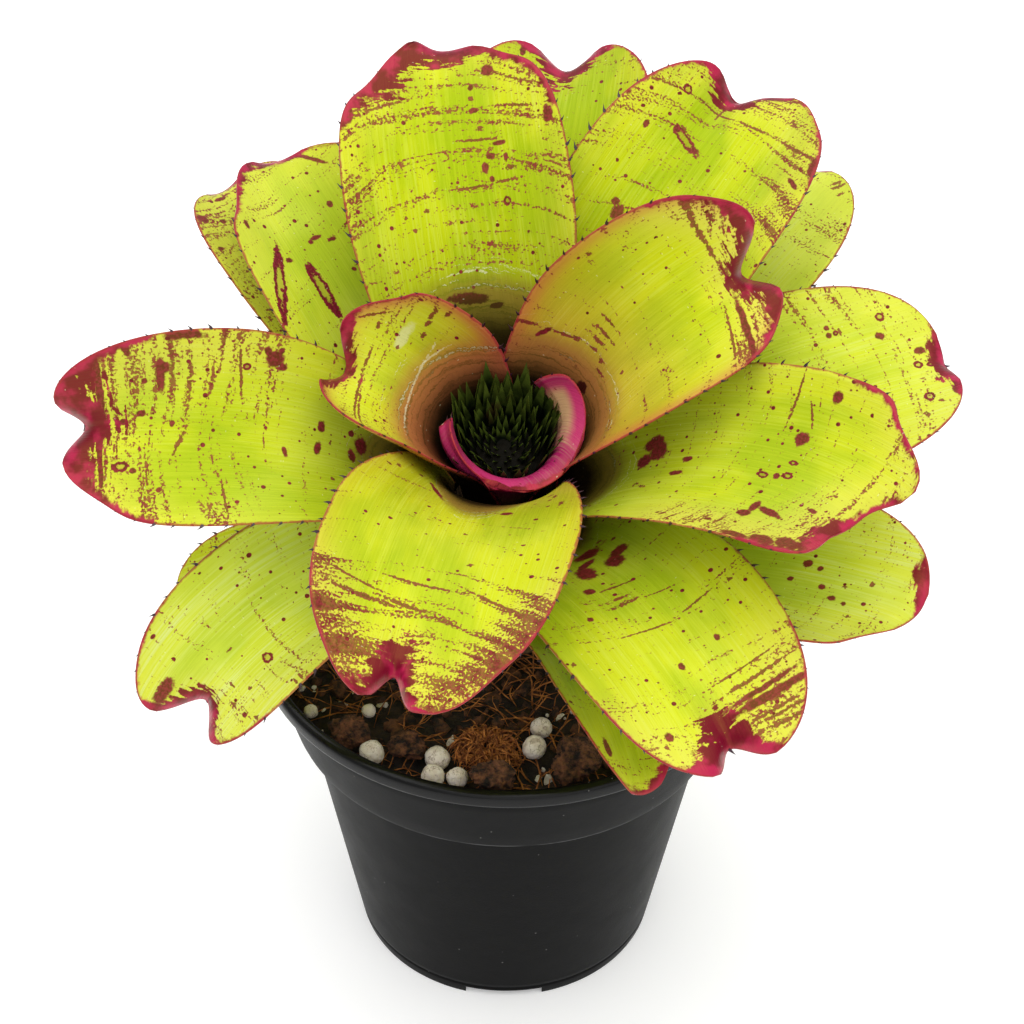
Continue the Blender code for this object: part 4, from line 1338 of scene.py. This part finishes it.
def pot_look(colour):
    """Charcoal nursery-pot plastic: satin, with fine scuffs, painted highlight lines and specks of
    dust.
    """
    look = Look("pot_plastic")
    place = look.object_place()
    mottle = look.noise(place, 90.0, 3.0)
    grit = look.noise(place, 2600.0, 2.0)
    drawn_out = look.vector("MULTIPLY", place, (1.0, 1.0, 7.0))
    scuffs = look.step(look.noise(drawn_out, 130.0, 4.0, 0.7), 0.66, 0.78)
    dust, pick, _ = look.cells(place, 300.0)
    specks = look.times(look.step(dust, 0.1, 0.05), look.step(pick, 0.8, 0.84))
    darker = tuple(0.85 * part for part in colour)
    shade = look.mix(look.step(mottle, 0.3, 0.7), darker, tuple(colour))
    shade = look.tint(scuffs, 0.12, shade, SCUFF_GREY)
    shade = look.tint(specks, 0.5, shade, DUST_GREY)
    level = look.math("DIVIDE", look.add("SeparateXYZ", place).outputs[2], MM)
    # Painted highlights: lighter lines at the collar step and under the rim, broken by the mottle.
    for height, half in HIGHLIGHT_LINES:
        away = look.math("ABSOLUTE", look.minus(level, POT_CENTRE.z + height))
        edge_highlight = look.times(look.step(away, half, 0.4 * half), look.step(mottle, 0.3, 0.6))
        shade = look.tint(edge_highlight, 0.7, shade, EDGE_HIGHLIGHT_GREY)
    rim = look.step(level, POT_CENTRE.z + RIM_FOOT, POT_CENTRE.z + RIM_FOOT + 1.0)
    roughness = look.plus(0.36, look.times(mottle, 0.14))
    roughness = look.minus(roughness, look.times(rim, 0.22))
    gloss = look.plus(0.05, look.times(rim, 0.13))
    height = look.plus(look.times(grit, 0.35), look.times(mottle, 1.0))
    return look.surface(shade, roughness, look.bump(height, 0.12 * MM), Specular_IOR_Level=gloss)


def stem_look():
    look = Look("stem")
    place = look.object_place()
    bands = look.noise(look.vector("MULTIPLY", place, (1.0, 1.0, 9.0)), 60.0, 4.0, 0.65)
    colour = look.mix(bands, *STEM_BROWNS)
    return look.surface(colour, 0.85, look.bump(bands, 0.8 * MM))


# The dark and the light of each earthy or stony finish.
MIX_BROWNS = ((0.006, 0.004, 0.003), (0.04, 0.022, 0.012))
BARK_BROWNS = ((0.01, 0.005, 0.003), (0.16, 0.06, 0.025))
HUSK_BROWNS = ((0.01, 0.004, 0.003), (0.26, 0.1, 0.045))
FIBRE_ORANGES = ((0.2, 0.06, 0.012), (0.62, 0.23, 0.06))
TUFT_ORANGES = ((0.16, 0.04, 0.008), (0.66, 0.24, 0.06))
GRAIN_PALES = ((0.66, 0.58, 0.52), (0.92, 0.87, 0.8))
CLAY_PALES = ((0.8, 0.68, 0.62), (0.97, 0.88, 0.84))
PIT_BROWN = (0.3, 0.25, 0.2)
STAIN_BROWN = (0.3, 0.19, 0.1)
RIFT_BROWN = (0.2, 0.1, 0.05)


def earth_look(name, dark, light, scale, bump_size):
    """Rough, broken plant matter between two browns."""
    look = Look(name)
    place = look.object_place()
    coarse = look.noise(place, scale, 5.0, 0.65)
    fibres = look.noise(look.vector("MULTIPLY", place, (1.0, 4.0, 1.5)), scale * 1.7, 3.0, 0.7)
    colour = look.mix(look.step(coarse, 0.35, 0.68), dark, light)
    colour = look.tint(look.step(fibres, 0.6, 0.75), 0.45, colour, tuple(1.9 * p for p in light))
    height = look.plus(coarse, look.times(fibres, 0.5))
    return look.surface(colour, 0.88, look.bump(height, bump_size * MM))


def stone_look(name, dark, light):
    """Pale porous grain with pits and brown stains."""
    look = Look(name)
    place = look.object_place()
    mottle = look.noise(place, 330.0, 4.0, 0.6)
    pits = look.noise(place, 1500.0, 3.0, 0.7)
    stain = look.step(look.noise(place, 240.0, 3.0), 0.56, 0.68)
    rift = look.math("ABSOLUTE", look.minus(look.noise(place, 190.0, 4.0, 0.62), 0.5))
    colour = look.mix(look.step(mottle, 0.3, 0.7), dark, light)
    colour = look.tint(look.step(pits, 0.42, 0.34), 0.4, colour, PIT_BROWN)
    colour = look.tint(stain, 0.4, colour, STAIN_BROWN)
    colour = look.tint(look.step(rift, 0.016, 0.004), 0.55, colour, RIFT_BROWN)
    return look.surface(colour, 0.85, look.bump(look.plus(pits, mottle), 0.35 * MM))


MIX_TOP_Z = 104.0
MIX_LUMP = 1.5
MIX_LUMP_SIZE = 14.0
MIX_SINK = 1.2  # how far the clods' mean level lies under the top of the frame's mix
MIX_R = 68.6
MIX_SIDES = 144
MIX_RINGS = 46
CLOD_SIZE = 4.5
CLOD_HEIGHT = 1.1
CRUMB_SIZE = 2.0
CRUMB_SHARE = 0.5
CLAY_BALLS = (
    (-39, -49, 3.6),
    (-20, -50, 3.6),
    (-21, -58, 3.4),
    (-14, -59, 3.1),
    (10, -37, 3.1),
    (8, -46, 3.5),
    (-41, -30, 2.1),
    (-58, -31, 2.1),
)
HUSKS = (
    (-46, -42, 5.0),
    (-29, -46, 4.4),
    (20, -54, 6.4),
    (-4, -61, 5.2),
)
COIR_TUFT = (-6, -46, 9.0)
BALL_LUMPS = (0.96, 0.1, 5.0)  # flatness, roughness and grain of a clay ball
BALL_SEED_STEP = 3.1
HUSK_LUMPS = (0.8, 0.5, 6.0)
HUSK_SEED_STEP = 7.7
BARK_SIZES = (1.2, 3.6)
BARK_CLEARANCE = 2.2
BARK_SEED = 11
GRAIN_SIZES = (0.6, 1.7)
GRAIN_CLEARANCE = 1.0
GRAIN_LIFT = 0.6
GRAIN_SEED = 23
FIBRE_SEED = 5
TUFT_SEED = 3
LUMP_SUBDIVISIONS = 5
LUMP_BROAD = 1.1
LUMP_FINE = 0.45
LUMP_GAP = 0.4
CHUNK_SHAPE = ((0.7, 1.4), (0.6, 1.2), (0.35, 0.8))
CHUNK_BUMP = 0.45
CHUNK_BUMP_SCALE = 1.3
FIBRE_POINTS = 6
FIBRE_LENGTHS = (7.0, 22.0)
FIBRE_RISES = (0.4, 3.2)
FIBRE_RADII = (0.12, 0.34)
TUFT_STRANDS = 300
TUFT_STRAND_POINTS = 7
TUFT_STRAND_RADII = (0.14, 0.34)
TUFT_DOME = 0.6
TUFT_ENDS = 120
TUFT_END_RADII = (0.16, 0.36)


def mix_height(x, y):
    """Height of the mix's own surface: broad lumps with finer clods on them."""
    lumps = MIX_LUMP * noise.noise(Vector((x, y, 0.0)) / MIX_LUMP_SIZE)
    clods = noise.noise(Vector((x, y, 40.0)) / CLOD_SIZE)
    clods += CRUMB_SHARE * noise.noise(Vector((x, y, 80.0)) / CRUMB_SIZE)
    return MIX_TOP_Z - MIX_SINK + lumps + CLOD_HEIGHT * clods


def mix_bed():
    """The body of the mix: turned to fit inside the pot, its top broken into clods."""
    level = MIX_TOP_Z - MIX_SINK
    rings = [(AXIS_R, 5.5), (44.0, 5.5), (body_r(85.9) - WALL - 0.5, 85.9), (64.3, 89.8)]
    rings += [(MIX_R, level)]
    for step in range(1, MIX_RINGS + 1):
        rings.append((MIX_R * (1.0 - step / MIX_RINGS) + 0.2, level))
    bed = turned("potting_mix_bed", rings, MIX_SIDES)
    for vert in bed.data.vertices:
        if vert.co.z > (level - 0.1) * MM:
            x, y, _ = vert.co / MM - POT_CENTRE
            vert.co.z = mix_height(x, y) * MM
    return bed


def chunk(template, place, size, rng):
    """An uneven, turned copy of the ball template."""
    verts, faces = template
    shape = Matrix.Diagonal(Vector([rng.uniform(*span) for span in CHUNK_SHAPE]))
    angle = rng.uniform(0, math.tau)
    axis = Vector((rng.gauss(0, 1), rng.gauss(0, 1), rng.gauss(0, 1.5)))
    spin = Matrix.Rotation(angle, 3, axis)
    seed = Vector((rng.uniform(0, 90), 0.0, 0.0))
    made = []
    for vert in verts:
        bumped = vert * (1.0 + CHUNK_BUMP * noise.noise(vert * CHUNK_BUMP_SCALE + seed))
        made.append(place + spin @ (shape @ bumped) * size)
    return made, faces


def open_places(count, rng, near=0.0):
    """Places on the mix, clear of the loose pieces by near millimetres."""
    taken = [*CLAY_BALLS, *HUSKS, COIR_TUFT]
    places = []
    while len(places) < count:
        turn = rng.uniform(0, math.tau)
        radius = math.sqrt(rng.uniform(0.0, 1.0)) * (MIX_R - 1.5)
        x, y = radius * math.cos(turn), radius * math.sin(turn)
        if all(math.hypot(x - bx, y - by) > br + near for bx, by, br in taken):
            places.append(Vector((x, y, mix_height(x, y))))
    return places


def chips(name, count, sizes, near, seed, lift=0.1):
    """Uneven chunks scattered over the mix, lifted by a share of their size."""
    rng = random.Random(seed)
    template = ball_template(1)
    parts = []
    for place in open_places(count, rng, near):
        size = rng.uniform(*sizes)
        parts.append(chunk(template, place + Vector((0, 0, size * lift)), size, rng))
    return gather(name, parts)


def fibre_path(start, rng, length, rise):
    """A loosely bent fibre lying on the mix, cut short where it meets the pot."""
    turn = rng.uniform(0, math.tau)
    bend = rng.uniform(-1.3, 1.3)
    points = []
    place = Vector((start.x, start.y, 0.0))
    steps = FIBRE_POINTS - 1
    for step in range(FIBRE_POINTS):
        arch = math.sin(math.pi * step / steps) * rise
        if place.xy.length > MIX_R - 1.0:
            break
        points.append(Vector((place.x, place.y, mix_height(place.x, place.y) + 0.5 + arch)))
        turn += bend / steps + rng.uniform(-0.25, 0.25)
        place = place + Vector((math.cos(turn), math.sin(turn), 0.0)) * length / steps
    return points


def fibres(name, count, seed):
    """Loose fibres scattered over the whole mix."""
    rng = random.Random(seed)
    parts = []
    for place in open_places(count, rng):
        points = fibre_path(place, rng, rng.uniform(*FIBRE_LENGTHS), rng.uniform(*FIBRE_RISES))
        if len(points) > FIBRE_POINTS // 2:
            parts.append(strand(points, rng.uniform(*FIBRE_RADII)))
    return gather(name, parts)


def lump_object(name, place, radius, flatness, roughness, grain, seed):
    """A lumpy ball lying on the mix, modelled from an ico sphere."""
    deselect_all()
    x, y = place
    bpy.ops.mesh.primitive_ico_sphere_add(subdivisions=LUMP_SUBDIVISIONS, radius=radius * MM)
    lump = bpy.context.object
    lump.name = name
    lowest = 0.0
    for vert in lump.data.vertices:
        unit = vert.co.normalized()
        push = roughness * noise.noise(unit * LUMP_BROAD + Vector((seed, 0, 0)))
        push += roughness * LUMP_FINE * noise.noise(unit * grain + Vector((0, seed, 0)))
        vert.co *= 1.0 + push
        vert.co.z *= flatness
        lowest = min(lowest, vert.co.z)
    rest = MIX_TOP_Z + MIX_LUMP * noise.noise(Vector((x, y, 0.0)) / MIX_LUMP_SIZE)
    centre = (Vector((x, y, rest + LUMP_GAP)) + POT_CENTRE) * MM
    centre.z -= lowest
    for vert in lump.data.vertices:
        vert.co += centre
    return lump


def tuft_parts(rng):
    """A tangled nest of coir: fibres wound round a low mound, with loose ends sticking out."""
    x, y, radius = COIR_TUFT
    parts = []
    for _ in range(TUFT_STRANDS):
        turn = rng.uniform(0, math.tau)
        reach = rng.uniform(0.15, 1.0)
        sweep = rng.uniform(0.5, 2.4) * rng.choice((-1, 1))
        tilt = rng.uniform(-0.5, 0.5)
        points = []
        for step in range(TUFT_STRAND_POINTS):
            angle = turn + sweep * step / (TUFT_STRAND_POINTS - 1)
            r = radius * reach * (1.0 + 0.18 * math.sin(5.0 * angle + tilt * 9.0))
            dome = math.sqrt(max(1.0 - (reach * 0.97) ** 2, 0.0)) * radius * TUFT_DOME
            height = rng.uniform(-0.35, 0.35) + dome * (0.75 + tilt * math.cos(angle))
            across, along = x + r * math.cos(angle), y + r * math.sin(angle)
            points.append(Vector((across, along, MIX_TOP_Z + 0.5 + height)))
        parts.append(strand(points, rng.uniform(*TUFT_STRAND_RADII)))
    for _ in range(TUFT_ENDS):
        parts.append(strand(loose_end(rng), rng.uniform(*TUFT_END_RADII)))
    return parts


def loose_end(rng):
    """A stiff fibre that leaves the tuft at a slant."""
    x, y, radius = COIR_TUFT
    turn = rng.uniform(0, math.tau)
    start = rng.uniform(0.0, 0.6) * radius
    end = rng.uniform(0.9, 1.35) * radius
    swing = turn + rng.uniform(-1.2, 1.2)
    high = rng.uniform(1.5, 6.5)
    points = []
    for step in range(FIBRE_POINTS):
        t = step / (FIBRE_POINTS - 1)
        r, angle = start + (end - start) * t, turn + (swing - turn) * t
        across, along = x + r * math.cos(angle), y + r * math.sin(angle)
        height = MIX_TOP_Z + 0.8 + high * math.sin(2.4 * t + 0.5)
        points.append(Vector((across, along, height)))
    return points


# ---------------------------------------------------------------- settings


class PotSettings(bpy.types.PropertyGroup):
    colour: FloatVectorProperty(
        name="Plastic",
        description="Colour of the pot's plastic",
        subtype="COLOR",
        default=(0.0042, 0.0043, 0.0044),
    )


class MixSettings(bpy.types.PropertyGroup):
    chips: IntProperty(name="Chips", description="Bark chips lying on the mix", default=520, min=0)
    fibres: IntProperty(
        name="Fibres", description="Loose coir fibres on the mix", default=620, min=0
    )
    grains: IntProperty(
        name="Grains", description="Small pale grains on the mix", default=90, min=0
    )


class LeafSettings(bpy.types.PropertyGroup):
    thickness: FloatProperty(
        name="Thickness",
        description="Thickness of a leaf in millimetres",
        default=0.95,
        min=0.2,
        max=3.0,
    )
    spine_spacing: FloatProperty(
        name="Spine spacing",
        description="Distance between marginal spines in millimetres",
        default=5.2,
        min=1.0,
    )
    spine_height: FloatProperty(
        name="Spine height",
        description="Height of a marginal spine in millimetres",
        default=1.9,
        min=0.2,
    )


class StageSettings(bpy.types.PropertyGroup):
    floor: FloatVectorProperty(
        name="Floor", description="Colour of the floor", subtype="COLOR", default=(0.92, 0.92, 0.92)
    )
    glow: FloatProperty(
        name="Glow", description="Light given off by the floor itself", default=0.22, min=0.0
    )
    lens: FloatProperty(
        name="Lens", description="Focal length in millimetres", default=85.0, min=10.0
    )


# ---------------------------------------------------------------- operators


class BROMELIAD_OT_pot(bpy.types.Operator):
    """Make the nursery pot"""

    bl_idname = "bromeliad.pot"
    bl_label = "Pot"

    def execute(self, context):
        pot = turned("nursery_pot", pot_rings(), POT_SIDES)
        cut_slots(pot)
        colour = tuple(context.scene.bromeliad_pot.colour)
        finish_piece(pot, [pot_look(colour)], ["pot"], smooth_angle=35.0)
        return {"FINISHED"}


class BROMELIAD_OT_mix(bpy.types.Operator):
    """Make the potting mix, with its chips, grains and fibres"""

    bl_idname = "bromeliad.mix"
    bl_label = "Potting mix"

    def execute(self, context):
        settings = context.scene.bromeliad_mix
        bed_look = earth_look("mix_bed", *MIX_BROWNS, 260.0, 1.6)
        finish_piece(mix_bed(), [bed_look], ["potting_mix"])
        bark_look = earth_look("bark", *BARK_BROWNS, 300.0, 0.9)
        bark = chips("bark_chips", settings.chips, BARK_SIZES, BARK_CLEARANCE, BARK_SEED)
        finish_piece(bark, [bark_look], [], smooth_angle=30.0)
        grain_look = stone_look("pale_grain", *GRAIN_PALES)
        grains = chips(
            "pale_grains", settings.grains, GRAIN_SIZES, GRAIN_CLEARANCE, GRAIN_SEED, GRAIN_LIFT
        )
        finish_piece(grains, [grain_look], [], smooth_angle=30.0)
        coir = earth_look("coir_fibre", *FIBRE_ORANGES, 300.0, 0.1)
        finish_piece(fibres("coir_fibres", settings.fibres, FIBRE_SEED), [coir], [])
        return {"FINISHED"}


class BROMELIAD_OT_loose(bpy.types.Operator):
    """Make the clay balls, husks and coir tuft that lie on the mix"""

    bl_idname = "bromeliad.loose"
    bl_label = "Loose pieces"

    def execute(self, context):
        clay = stone_look("clay_ball", *CLAY_PALES)
        for number, (x, y, radius) in enumerate(CLAY_BALLS, 1):
            name = f"pale_ball_{number:02d}"
            ball = lump_object(name, (x, y), radius, *BALL_LUMPS, number * BALL_SEED_STEP)
            finish_piece(ball, [clay], [f"clay_ball_{number:02d}"])
        husk_look = earth_look("husk", *HUSK_BROWNS, 300.0, 2.4)
        for number, (x, y, radius) in enumerate(HUSKS, 1):
            name = f"husk_chip_{number:02d}"
            husk = lump_object(name, (x, y), radius, *HUSK_LUMPS, number * HUSK_SEED_STEP)
            finish_piece(husk, [husk_look], [f"husk_{number:02d}"])
        coir = earth_look("coir_tangle", *TUFT_ORANGES, 500.0, 0.1)
        tuft = gather("coir_tangle", tuft_parts(random.Random(TUFT_SEED)))
        finish_piece(tuft, [coir], ["coir_tuft"])
        return {"FINISHED"}


class BROMELIAD_OT_stem(bpy.types.Operator):
    """Make the stem's skin"""

    bl_idname = "bromeliad.stem"
    bl_label = "Stem"

    def execute(self, context):
        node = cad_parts["stem"]
        node.data.materials.clear()
        node.data.materials.append(stem_look())
        return {"FINISHED"}


class BROMELIAD_OT_leaves(bpy.types.Operator):
    """Make the leaves with their notched tips and spines"""

    bl_idname = "bromeliad.leaves"
    bl_label = "Leaves"

    def execute(self, context):
        settings = context.scene.bromeliad_leaf
        underside = underside_look()
        spine_skin = spine_look()
        template = spine_template()
        for order, leaf in enumerate(LEAVES):
            name = f"blade_{order + 1:02d}"
            rng = random.Random(SPINE_SEED + order)
            blade, rows, turn = leaf_blade(name, leaf, order, settings.thickness)
            upper = leaf_look(f"leaf_skin_{order + 1:02d}", leaf, order)
            finish_piece(blade, [upper, underside], [f"leaf_{order + 1:02d}"])
            spacing, height = settings.spine_spacing, settings.spine_height
            hooks = spines(leaf, rows, turn, spacing, height, template, rng)
            hooks = gather(f"spines_{order + 1:02d}", hooks)
            finish_piece(hooks, [spine_skin], [], smooth_angle=50.0)
        return {"FINISHED"}


class BROMELIAD_OT_cushion(bpy.types.Operator):
    """Make the flower cushion in the cup"""

    bl_idname = "bromeliad.cushion"
    bl_label = "Flower cushion"

    def execute(self, context):
        core = gather("cushion_core", [cushion_core()])
        finish_piece(core, [core_shade_look()], ["flower_cushion"])
        bracts = gather("cushion_bracts", cushion_parts(random.Random(CUSHION_SEED)))
        rise = bracts.data.attributes.new("rise", "FLOAT", "POINT")
        count = 3 * (BRACT_ROWS + 1)
        for index, value in enumerate(rise.data):
            value.value = index % count // 3 / BRACT_ROWS
        finish_piece(bracts, [bract_look()], [], smooth_angle=40.0)
        return {"FINISHED"}


CAMERA_AIM = (0.6, 0.0, 158.3)
CAMERA_DISTANCE = 705.9
CAMERA_ELEVATION = 38.39
CAMERA_ROLL = 0.761
SENSOR_WIDTH = 36.0
FLOOR_SIZE = 6.0
FLOOR_ROUGHNESS = 0.9
WHITE = (1.0, 1.0, 1.0)
WORLD_STRENGTH = 0.55
SUNS = (
    # name, direction, angle, strength
    ("overhead", (-0.06, 0.06, 1.0), 80.0, 2.2),
    ("front", (0.2, -0.8, 0.62), 70.0, 0.85),
)


def add_sun(name, towards, angle, strength):
    """A broad, even light from a direction; the wider its angle, the softer its shadows."""
    deselect_all()
    bpy.ops.object.light_add(type="SUN")
    lamp = bpy.context.object
    lamp.name = name
    lamp.data.angle = math.radians(angle)
    lamp.data.energy = strength
    lamp.rotation_euler = Vector(towards).to_track_quat("Z", "Y").to_euler()


class BROMELIAD_OT_stage(bpy.types.Operator):
    """Make the floor, the lights and the camera"""

    bl_idname = "bromeliad.stage"
    bl_label = "Stage"

    def execute(self, context):
        settings = context.scene.bromeliad_stage
        deselect_all()
        bpy.ops.mesh.primitive_plane_add(size=FLOOR_SIZE, location=ORIGIN)
        floor = bpy.context.object
        floor.name = "floor"
        look = Look("floor")
        glow = {"Emission_Color": WHITE, "Emission_Strength": settings.glow}
        floor.data.materials.append(look.surface(tuple(settings.floor), FLOOR_ROUGHNESS, **glow))
        world = bpy.data.worlds.new("studio")
        world.use_nodes = True
        background = world.node_tree.nodes["Background"]
        background.inputs["Color"].default_value = (*WHITE, 1.0)
        background.inputs["Strength"].default_value = WORLD_STRENGTH
        context.scene.world = world
        context.scene.view_settings.view_transform = "Standard"
        for sun in SUNS:
            add_sun(*sun)
        elevation = math.radians(CAMERA_ELEVATION)
        roll = math.radians(CAMERA_ROLL)
        back = Vector((0.0, -math.cos(elevation), math.sin(elevation)))
        right = Vector((1.0, 0.0, 0.0))
        up = back.cross(right)
        turned_right = right * math.cos(roll) + up * math.sin(roll)
        turned_up = up * math.cos(roll) - right * math.sin(roll)
        place = (Vector(CAMERA_AIM) + POT_CENTRE) * MM + back * CAMERA_DISTANCE * MM
        deselect_all()
        bpy.ops.object.camera_add()
        camera = bpy.context.object
        camera.data.lens = settings.lens
        camera.data.sensor_width = SENSOR_WIDTH
        turn = Matrix((turned_right, turned_up, back)).transposed().to_4x4()
        camera.matrix_world = Matrix.Translation(place) @ turn
        context.scene.camera = camera
        return {"FINISHED"}


class BROMELIAD_PT_panel(bpy.types.Panel):
    """Lists the pieces and their settings"""

    bl_label = "Bromeliad"
    bl_idname = "BROMELIAD_PT_panel"
    bl_space_type = "VIEW_3D"
    bl_region_type = "UI"
    bl_category = "Bromeliad"

    def draw(self, context):
        scene = context.scene
        for group, names, operators in PANEL_ROWS:
            box = self.layout.box()
            for name in names:
                box.prop(getattr(scene, group), name)
            for operator in operators:
                box.operator(operator.bl_idname)


PANEL_ROWS = (
    ("bromeliad_pot", ("colour",), (BROMELIAD_OT_pot,)),
    ("bromeliad_mix", ("chips", "grains", "fibres"), (BROMELIAD_OT_mix, BROMELIAD_OT_loose)),
    (
        "bromeliad_leaf",
        ("thickness", "spine_spacing", "spine_height"),
        (BROMELIAD_OT_stem, BROMELIAD_OT_leaves, BROMELIAD_OT_cushion),
    ),
    ("bromeliad_stage", ("floor", "glow", "lens"), (BROMELIAD_OT_stage,)),
)
GROUPS = {
    "bromeliad_pot": PotSettings,
    "bromeliad_mix": MixSettings,
    "bromeliad_leaf": LeafSettings,
    "bromeliad_stage": StageSettings,
}
OPERATORS = (
    BROMELIAD_OT_pot,
    BROMELIAD_OT_mix,
    BROMELIAD_OT_loose,
    BROMELIAD_OT_stem,
    BROMELIAD_OT_leaves,
    BROMELIAD_OT_cushion,
    BROMELIAD_OT_stage,
)


def register():
    for name, group in GROUPS.items():
        bpy.utils.register_class(group)
        setattr(bpy.types.Scene, name, PointerProperty(type=group))
    for operator in OPERATORS:
        bpy.utils.register_class(operator)
    bpy.utils.register_class(BROMELIAD_PT_panel)


def unregister():
    bpy.utils.unregister_class(BROMELIAD_PT_panel)
    for operator in reversed(OPERATORS):
        bpy.utils.unregister_class(operator)
    for name, group in GROUPS.items():
        delattr(bpy.types.Scene, name)
        bpy.utils.unregister_class(group)


def main():
    register()
    bpy.ops.bromeliad.pot()
    bpy.ops.bromeliad.mix()
    bpy.ops.bromeliad.loose()
    bpy.ops.bromeliad.stem()
    bpy.ops.bromeliad.leaves()
    bpy.ops.bromeliad.cushion()
    bpy.ops.bromeliad.stage()


if __name__ == "__main__":
    main()
